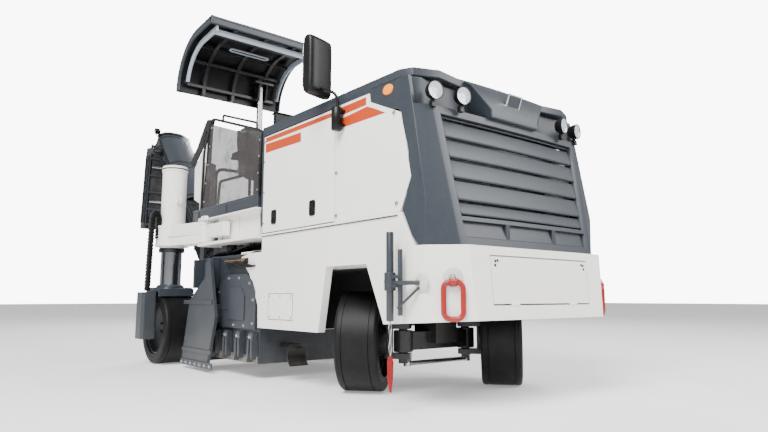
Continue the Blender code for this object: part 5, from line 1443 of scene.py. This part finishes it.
def superellipsoid(centre, half, power=4.5, rows=26, columns=44):
    """|x/a|^p + |y/b|^p + |z/c|^2.4 = 1: a pillow whose plan is nearly square and whose face is domed."""
    v, u = np.linspace(-np.pi / 2, np.pi / 2, rows), np.linspace(0, 2 * np.pi, columns, endpoint=False)
    cu, su, cv, sv = np.cos(u), np.sin(u), np.cos(v), np.sin(v)
    x = half[0] * signed(cv, 0.55)[:, None] * signed(cu, 2 / power)[None]
    y = half[1] * signed(cv, 0.55)[:, None] * signed(su, 2 / power)[None]
    z = half[2] * signed(sv, 0.80)[:, None] * np.ones_like(u)[None]
    return grid(np.stack([x, y, z], axis=-1) + np.asarray(centre, float), wrap_v=True)


seat_x, seat_y, base_z = axle_x - 2.10, -0.25, 1.812


def tipped(shape, angle, about):
    """Turns a shape about the y direction through a point: rearwards when the angle is positive."""
    c, s = math.cos(angle), math.sin(angle)
    turn = np.array([[c, 0, s], [0, 1, 0], [-s, 0, c]])
    centre = np.asarray(about, float)
    return (shape[0] - centre) @ turn.T + centre, shape[1]


cushion = superellipsoid((seat_x + 0.035, seat_y, base_z + 0.030), (0.225, 0.215, 0.052))
backrest = tipped(superellipsoid((seat_x - 0.140, seat_y, base_z + 0.300), (0.050, 0.205, 0.200)),
                  math.radians(-8), (seat_x - 0.14, seat_y, base_z))


def places_of(piece):
    """The mesh's points as an (n, 3) array."""
    flat = np.empty(3 * len(piece.data.vertices), np.float32)
    piece.data.vertices.foreach_get("co", flat)
    return flat.reshape(-1, 3).astype(float)


def settled(piece):
    """Keeps the mesh as its modifiers leave it, and takes the modifiers off."""
    graph = bpy.context.evaluated_depsgraph_get()
    shape_now = bpy.data.meshes.new_from_object(piece.evaluated_get(graph))
    piece.modifiers.clear()
    piece.data = shape_now


def blown(piece, farthest=0.010, voxel=0.006, frames=20):
    """Fills the sewn cover: even voxels, cloth under pressure, and no point moved beyond farthest."""
    remesh = piece.modifiers.new("even", "REMESH")
    remesh.mode, remesh.voxel_size, remesh.use_smooth_shade = "VOXEL", voxel, True
    settled(piece)
    before = places_of(piece)
    cover = piece.modifiers.new("cover", "CLOTH")
    cover.settings.use_pressure, cover.settings.uniform_pressure_force = True, 4.0
    cover.settings.effector_weights.gravity = 0.0
    for moment in range(1, frames + 1):
        bpy.context.scene.frame_set(moment)
    settled(piece)
    bpy.context.scene.frame_set(1)
    move = places_of(piece) - before
    length = np.linalg.norm(move, axis=1, keepdims=True)
    kept = before + move * np.minimum(1.0, farthest / np.maximum(length, 1e-9))
    piece.data.vertices.foreach_set("co", kept.ravel())
    piece.data.update()
    return float(length.max())


for name, shape in (("seat_cushion", cushion), ("seat_back", backrest)):
    padded = put(name, shape, "seat_vinyl", "operator_seat")
    print(name, "swelled by", round(blown(padded) * 1000, 1), "mm before the cap")
    round_off = padded.modifiers.new("smooth", "SUBSURF")
    round_off.levels = round_off.render_levels = 1
    if name == "seat_cushion":
        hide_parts("operator_seat")
turn = np.linspace(0, 2 * np.pi, 90, endpoint=False)
plan = np.stack([signed(np.cos(turn), 0.444), signed(np.sin(turn), 0.444)], 1)
seam = np.column_stack([seat_x + 0.035 + 0.228 * plan[:, 0], seat_y + 0.218 * plan[:, 1],
                        np.full(90, base_z + 0.030)])
put("seat_piping", closed_tube(seam, 0.0045, 8), "black_plastic", "operator_seat")
pan = turned([(0.20, 0.0), (0.205, 0.012), (0.20, 0.024), (0.16, 0.026), (0.0, 0.026)],
             (seat_x + 0.03, seat_y, 1.758), (0, 0, 1), 44)
back_shell = slab([(seat_x - 0.170, 1.80), (seat_x - 0.190, 1.80), (seat_x - 0.252, 2.24),
                   (seat_x - 0.232, 2.262), (seat_x - 0.214, 2.24)], "y", seat_y - 0.175,
                  seat_y + 0.175)
put("seat_shell", together(pan, back_shell), "black_plastic", "operator_seat", bevel=0.008)
bellows = [(0.062, 1.340)]
for i in range(7):
    bellows += [(0.100, 1.352 + 0.040 * i), (0.082, 1.372 + 0.040 * i)]
stand = turned([(0.0, 1.3385), (0.120, 1.3385), (0.120, 1.346)] + bellows[1:] + [(0.070, 1.64),
                                                                                 (0.0655, 1.65),
                                                                                 (0.0655, 1.752),
                                                                                 (0.0, 1.753)],
               (seat_x, seat_y, 0), (0, 0, 1), 40)
put("seat_bellows", stand, "black_plastic", sharp=50)
print("seat at x", seat_x)

# %% [markdown]
# ## The loading conveyor
# The conveyor climbs behind the machine and folds near its head.  It is drawn in its own
# frame, distance along the belt and height above it, and then turned to its slope, so every
# cover, cleat and lattice bar stays simple.

# %% Covers, cleats and lattice
def leaning(angle, start):
    """Turns a shape drawn along -x about the y direction by an angle, then moves it to start."""
    c, s = math.cos(angle), math.sin(angle)
    turn = np.array([[c, 0, s], [0, 1, 0], [-s, 0, c]])
    return lambda shape: (shape[0] @ turn.T + np.asarray(start, float), shape[1])


lower_lean = leaning(math.radians(45), (-0.95, -0.24, 0.97))
upper_lean = leaning(math.radians(-84), (-2.8157, -0.24, 2.5586))


def arched_cover(first, last, half, foot, rise, thick=0.004):
    """z = foot + rise (1 - |y / half|^3): a sheet cover with a flat crown and rounded sides."""
    y = np.linspace(-half, half, 29)
    z = foot + rise * (1 - np.abs(y / half) ** 3)
    outer = np.stack([y, z], 1)
    inner = np.stack([y * (1 - thick / half), z - thick], 1)[::-1]
    loop = np.concatenate([outer, inner])
    x = -np.linspace(first, last, 12)
    points = np.stack([np.repeat(x[:, None], len(loop), 1), np.repeat(loop[None, :, 0], 12, 0),
                       np.repeat(loop[None, :, 1], 12, 0)], -1)
    return grid(points, wrap_v=True, lids=True)


covers = [arched_cover(first, last, 0.196, 0.0855, 0.058) for first,
          last in ((0.98, 1.635), (1.640, 2.290))]
straps = [arched_cover(at, at + 0.022, 0.1985, 0.0855, 0.0605) for at in (1.02, 1.58, 1.68, 2.24)]
put("conveyor_cover", lower_lean(together(*covers)), "dark_enamel", "conveyor_lower", sharp=40)
put("conveyor_straps", lower_lean(together(*straps)), "black_enamel", "conveyor_lower")
head_lip = together(arched_cover(2.290, 2.345, 0.200, 0.0855, 0.064, 0.012),
                    block((-2.345, -0.200, 0.060), (-2.325, 0.200, 0.090)))
put("conveyor_head_lip", lower_lean(head_lip), "black_plastic", "conveyor_lower", bevel=0.003)


def lattice(first, last, side, bays, half_high=0.062):
    """Two chords and a zigzag between them, on one side of a conveyor."""
    d = np.linspace(first, last, bays + 1)
    z = np.where(np.arange(bays + 1) % 2, half_high, -half_high)
    web = [tube(np.linspace((-a, side, b), (-e, side, f), 4), 0.0055, 8) for a, b, e,
           f in zip(d[:-1], z[:-1], d[1:], z[1:])]
    chords = [tube(np.linspace((-first, side, h), (-last, side, h), 6), 0.0075, 8)
              for h in (-half_high, half_high)]
    return together(*web, *chords)


sides = together(lattice(0.30, 2.26, -0.1935, 18), lattice(0.30, 2.26, 0.1935, 18))
put("conveyor_lattice", lower_lean(sides), "black_enamel", "conveyor_lower")
hanging = together(lattice(0.10, 0.98, -0.2235, 8, 0.055), lattice(0.10, 0.98, 0.2235, 8, 0.055))
put("conveyor_tail_lattice", upper_lean(hanging), "black_enamel", "conveyor_upper")
bars = [block((-d - 0.012, -0.214, -0.092), (-d + 0.012, 0.214, -0.084))
        for d in (0.14, 0.36, 0.58, 0.80, 1.00)]
rollers = [tube(np.linspace((-d, -0.19, -0.092), (-d, 0.19, -0.092), 4), 0.017, 16) for d in (0.25, 0.70)]
put("conveyor_tail_bars", upper_lean(together(*bars)), "dark_enamel", "conveyor_upper", bevel=0.002)
put("conveyor_tail_rollers", upper_lean(together(*rollers)), "ground_steel", "conveyor_upper")
chute = [(-0.90, -0.085), (-1.050, -0.085), (-1.055, -0.060), (-1.060, 0.085), (-1.052, 0.085),
         (-1.044, -0.050), (-0.90, -0.078)]
put("conveyor_chute", upper_lean(slab(chute, "y", -0.216, 0.216)), "black_plastic",
    "conveyor_upper", bevel=0.002)
idlers = [tube(np.linspace((-d, -0.165, -0.097), (-d, 0.165, -0.097), 4), 0.018, 16)
          for d in np.arange(0.35, 2.2, 0.46)]
hangers = [block((-d - 0.014, s * 0.172 - 0.006, -0.118), (-d + 0.014, s * 0.172 + 0.006, -0.060))
           for d in np.arange(0.35, 2.2, 0.46) for s in (-1, 1)]
put("conveyor_idlers", lower_lean(together(*idlers)), "ground_steel", "conveyor_lower")
put("conveyor_hangers", lower_lean(together(*hangers)), "dark_enamel", "conveyor_lower", bevel=0.002)
motor = turned([(0.0, 0.0), (0.050, 0.0), (0.050, 0.030), (0.042, 0.034), (0.042, 0.090),
                (0.030, 0.098), (0.0, 0.099)], (-2.06, -0.200, 0.0), (0, -1, 0), 28)
put("conveyor_motor", lower_lean(motor), "black_enamel", "conveyor_lower", sharp=40)
runs = []
for offset in (0.0, 0.022, 0.044):
    route = [(-0.12, -0.200, -0.050 + offset), (-0.60, -0.2035, -0.045 + offset),
             (-1.30, -0.206, -0.055 + offset * 0.8), (-1.85, -0.206, -0.045 + offset * 0.7),
             (-2.02, -0.235, -0.020 + offset * 0.6)]
    runs.append(tube(rounded(route, 90, 0.12), 0.0085, 10))
put("conveyor_hoses", lower_lean(together(*runs)), "hose_rubber", "conveyor_lower")
chevron = together(slab([(0.0, 0.0), (0.016, 0.0), (0.076, 0.125), (0.060, 0.125)], "z", 0.0750, 0.0830),
                   slab([(0.0, 0.0), (0.016, 0.0), (0.076, -0.125), (0.060, -0.125)], "z", 0.0750, 0.0830))
put("belt_lower_cleats", lower_lean(repeated(chevron,
                                             np.array([(-d, 0, 0)
                                                       for d in np.arange(0.20, 2.2, 0.19)]))),
    "belt_rubber", "conveyor_lower")
put("belt_upper_cleats", upper_lean(repeated(chevron,
                                             np.array([(-d, 0, 0)
                                                       for d in np.arange(0.18, 0.95, 0.19)]))),
    "belt_rubber", "conveyor_upper")
lamp_arm = tube(rounded([(-2.30, -0.195, 0.07), (-2.30, -0.235, 0.10), (-2.31, -0.235, 0.13)], 20,
                        0.2), 0.006, 8)
lamp_box = block((-2.345, -0.262, 0.125), (-2.275, -0.202, 0.172))
put("conveyor_lamp", lower_lean(together(lamp_arm, lamp_box)), "black_plastic", "conveyor_lower",
    bevel=0.004)
put("conveyor_lamp_glass", lower_lean(block((-2.336, -0.2645, 0.132), (-2.284, -0.2615, 0.165))),
    "clear_lens", "conveyor_lower", bevel=0.001)
grips = []
for d in (1.12, 1.46, 1.80, 2.14):
    path = rounded([(-d, 0.140, 0.128), (-d, 0.150, 0.165), (-d - 0.10, 0.150, 0.165),
                    (-d - 0.10, 0.140, 0.128)], 36, 0.15)
    grips.append(tube(path, 0.005, 8))
put("conveyor_grips", lower_lean(together(*grips)), "ground_steel", "conveyor_lower")
turret_bolts = np.array([(-0.95 + 0.055 * math.cos(a), -0.24 + 0.055 * math.sin(a), 1.3305)
                         for a in np.arange(6) * math.pi / 3])
put("turret_bolts", bolt_heads(turret_bolts, (0, 0, 1), 0.007, 0.006), "ground_steel", "turret")
print("conveyor: 2 covers,", len(bars) + len(idlers), "cross members")

# %% [markdown]
# ## Milling drum and its box
# Carbide picks stand on a steel drum along four helices that push the milled material to the
# middle: pick number i sits at angle a(i) and at |y| shrinking with a(i).  The box over it wears a
# bolted side cover, wear clamps, a valve bank with brass fittings and two lifting side shields.

# %% Drum and picks
drum_x, drum_z, drum_low, drum_high = 0.35, 0.52, -0.735, 0.265
tube_profile = [(0.0, drum_low + 0.004), (0.235, drum_low + 0.004), (0.268, drum_low + 0.010),
                (0.270, drum_low + 0.020), (0.270, drum_high - 0.020), (0.268, drum_high - 0.010),
                (0.235, drum_high - 0.004), (0.0, drum_high - 0.004)]
drum = turned(tube_profile, (drum_x, 0, drum_z), (0, 1, 0), 96)
drum_piece = put("drum_shell", drum, "worn_steel", "milling_drum", sharp=40)
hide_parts("milling_drum")


def pick_set(count):
    """Holder and pick, each turned to its angle and slid to its place on the helix."""
    holder = block((-0.026, -0.017, 0.264), (0.022, 0.017, 0.306))
    tip = turned([(0.012, 0.0), (0.013, 0.010), (0.008, 0.024), (0.0065, 0.034), (0.0, 0.044)],
                 (0, 0, 0), (0.50, 0, 0.866), 8)
    tip = moved(tip, None, (0.006, 0, 0.300))
    holders, tips = [], []
    index = np.arange(count)
    side = np.where(index % 2, 1.0, -1.0)
    step = (index // 2) / (count // 2)
    angles = 2 * np.pi * (3.1 * step + 0.5 * (index % 2))
    across = (drum_low + drum_high) / 2 + side * (0.475 - 0.455 * step)
    for angle, y in zip(angles, across):
        c, s = math.cos(angle), math.sin(angle)
        turn = np.array([[c, 0, s], [0, 1, 0], [-s, 0, c]])
        for target, source in ((holders, holder), (tips, tip)):
            target.append((source[0] @ turn.T + np.array([drum_x, y, drum_z]), source[1]))
    return together(*holders), together(*tips)


pick_count = 92
holders, tips = pick_set(pick_count)
put("pick_holders", holders, "cast_iron", "milling_drum", sharp=25)
put("pick_tips", tips, "ground_steel", "milling_drum", sharp=25)
paddle = slab([(drum_x - 0.004, drum_z + 0.27), (drum_x + 0.010, drum_z + 0.27),
               (drum_x + 0.006, drum_z + 0.325), (drum_x, drum_z + 0.325)], "y", -0.33, -0.14)
put("drum_paddles", paddle, "worn_steel", "milling_drum", bevel=0.002)

# %% [markdown]
# The drum box is closed by a bolted cover with a raised middle.  Clamps hold its wear strips, and
# a shield on each side slides down to the road on a bright rod.

# %% Side cover, clamps, shields and valve bank
cover_outline = [(0.895, 0.374), (0.895, 0.660), (0.845, 0.742), (0.745, 0.806), (0.400, 0.806),
                 (0.262, 0.740), (0.196, 0.620), (0.176, 0.374)]
side_cover = slab(cover_outline, "y", -0.800, -0.7745)
raised = slab([(0.72, 0.44), (0.72, 0.63), (0.66, 0.70), (0.46, 0.70), (0.46, 0.44)], "y", -0.808, -0.799)
fold_line = block((0.19, -0.804, 0.520), (0.455, -0.799, 0.532))
put("drum_side_cover", together(side_cover, raised, fold_line), "dark_enamel", bevel=0.004, segments=3)
spots = np.array([(0.865, -0.801, 0.42), (0.865, -0.801, 0.60), (0.80, -0.801, 0.73),
                  (0.62, -0.801, 0.775), (0.43, -0.801, 0.775), (0.245, -0.801, 0.66),
                  (0.215, -0.801, 0.50), (0.205, -0.801, 0.41), (0.54, -0.801, 0.40),
                  (0.72, -0.801, 0.40)])
put("side_cover_bolts", bolt_heads(spots, (0, -1, 0), 0.010, 0.009), "ground_steel")
clamps, studs = [], []
for x in (0.875, 0.66, 0.44, 0.23):
    clamps.append(slab([(x - 0.035, 0.300), (x - 0.012, 0.300), (x - 0.012, 0.17),
                        (x - 0.040, 0.125), (x - 0.046, 0.19)], "y", -0.830, -0.774))
    clamps.append(slab([(x + 0.012, 0.300), (x + 0.035, 0.300), (x + 0.046, 0.19),
                        (x + 0.034, 0.150), (x + 0.012, 0.17)], "y", -0.830, -0.774))
    clamps.append(block((x - 0.034, -0.822, 0.285), (x + 0.034, -0.774, 0.352)))
    studs.append((x, -0.8225, 0.320))
wear_strip = [block((-0.215 + 0.142 * i, -0.786, 0.116), (-0.079 + 0.142 * i, -0.7735, 0.176))
              for i in range(8)]
put("wear_clamps", together(*clamps), "dark_enamel", bevel=0.003)
put("wear_strips", together(*wear_strip), "worn_steel", bevel=0.002)
put("clamp_studs", bolt_heads(np.array(studs), (0, -1, 0), 0.013, 0.014), "ground_steel")
bank = together(block((0.36, -0.792, 0.868), (0.80, -0.752, 0.948)),
                block((0.40, -0.806, 0.885), (0.76, -0.791, 0.930)))
put("valve_bank", bank, "black_enamel", bevel=0.003)
bare_metal("brass", (0.60, 0.45, 0.20), 0.28)
ends = np.array([(0.425 + 0.040 * i, -0.806, 0.908) for i in range(8)])
nipple = turned([(0.0125, 0.0), (0.0125, 0.012), (0.0085, 0.014), (0.0085, 0.022), (0.011, 0.024),
                 (0.011, 0.034), (0.0, 0.035)], (0, 0, 0), (0, -1, 0), 6)
put("brass_fittings", repeated(nipple, ends), "brass")
leads = []
for i, (x, y, z) in enumerate(ends):
    route = [(x, y - 0.030, z), (x + 0.010, y - 0.045, z - 0.010 - 0.004 * (i % 3)),
             (x + 0.10 + 0.01 * i, y + 0.000, z - 0.052), (0.885 + 0.006 * (i % 3), y + 0.030,
                                                           z - 0.035)]
    leads.append(tube(rounded(route, 40, 0.25), 0.0075, 10))
put("bank_hoses", together(*leads), "hose_rubber")
for side, name in ((-1, "right"), (1, "left")):
    face_y = -0.895 if side < 0 else 0.630
    base = -0.865 if side < 0 else 0.600
    plates = [block((-0.27, face_y, z), (0.33, face_y + side * 0.008, z + 0.035))
              for z in (0.150, 0.560)]
    plates.append(block((-0.285, face_y, 0.032), (0.375, face_y + side * 0.009, 0.085)))
    put(f"shield_ribs_{name}", together(*plates), "dark_enamel", f"edge_protector_{name}", bevel=0.003)
    wear = [(x, face_y + side * 0.009, 0.058) for x in np.linspace(-0.25, 0.34, 7)]
    put(f"shield_bolts_{name}", bolt_heads(wear, (0, side, 0), 0.011, 0.010), "ground_steel",
        f"edge_protector_{name}")
    inner = base - side * 0.045
    rod = together(turned([(0.0, 0.262), (0.0125, 0.262), (0.0125, 0.615), (0.0, 0.615)],
                          (0.045, inner, 0), (0, 0, 1), 20), block((0.020, inner, 0.250),
                                                                   (0.070, base, 0.292)))
    put(f"shield_rod_{name}", rod, "bright_trim", f"edge_protector_{name}")
    if side < 0:
        barrel = turned([(0.0165, 0.602), (0.028, 0.604), (0.028, 0.630), (0.026, 0.632),
                         (0.026, 0.905), (0.020, 0.925), (0.0, 0.926)], (0.045, inner, 0),
                        (0, 0, 1), 28)
        guides = [block((x - 0.018, -0.856, 0.70), (x + 0.018, -0.774, 0.955)) for x in (-0.175, 0.165)]
        put("shield_barrel", together(barrel, *guides), "dark_enamel", bevel=0.002)
print(pick_count, "picks, side cover, valve bank and two shields")

# %% [markdown]
# ## Left side, drive hubs and underside
# The left flank carries the drum's gearbox with a ring of bolts.  The front wheels hide a
# hydraulic motor each, and a curved deflector keeps milled material off them.

# %% Gearbox, wheel motors and deflector
gear_cap = turned([(0.0, 0.0), (0.060, 0.0), (0.060, 0.02), (0.0, 0.022)], (0.48, 0.6005, 0.74),
                  (0, 1, 0), 32)
gear_bolts = [(0.50, 0.601, 0.30 + 0.07 * i) for i in range(5)]
put("gearbox_bolts", bolt_heads(gear_bolts, (0, 1, 0), 0.010, 0.009), "ground_steel")
put("gearbox_cap", gear_cap, "dark_enamel", sharp=40)
for side, name in ((-1, "right"), (1, "left")):
    wheel = np.array([axle_x + side * 0.199, side * 0.467, tyre_radius])
    pivot = np.array([axle_x, side * front_y, tyre_radius])
    inward = (pivot - wheel) / np.linalg.norm(pivot - wheel)
    hub = turned([(0.0, 0.06), (0.100, 0.06), (0.100, 0.105), (0.082, 0.110), (0.082, 0.150),
                  (0.060, 0.156), (0.0, 0.157)], wheel, inward, 40)
    ports = turned([(0.0, 0.0), (0.020, 0.0), (0.020, 0.05), (0.012, 0.055), (0.0, 0.056)],
                   wheel + inward * 0.13 + (0, 0, 0.06), (0, 0, 1), 16)
    put(f"wheel_motor_{name}", together(hub, ports), "black_enamel", f"front_knuckle_{name}", sharp=40)
arc = np.linspace(-0.9, 0.9, 14)
outer = np.stack([1.115 + 0.110 * (1 - np.cos(arc)), 0.190 + 0.080 * np.sin(arc) / math.sin(0.9)], 1)
scoop = np.concatenate([outer, (outer + np.array([0.010, 0.0]))[::-1]])
put("deflector", together(slab(scoop.tolist(), "y", -0.640, -0.480),
                          block((0.925, -0.59, 0.240), (1.150, -0.53, 0.272))), "black_enamel",
    bevel=0.001)
print("wheel motors and deflector placed")
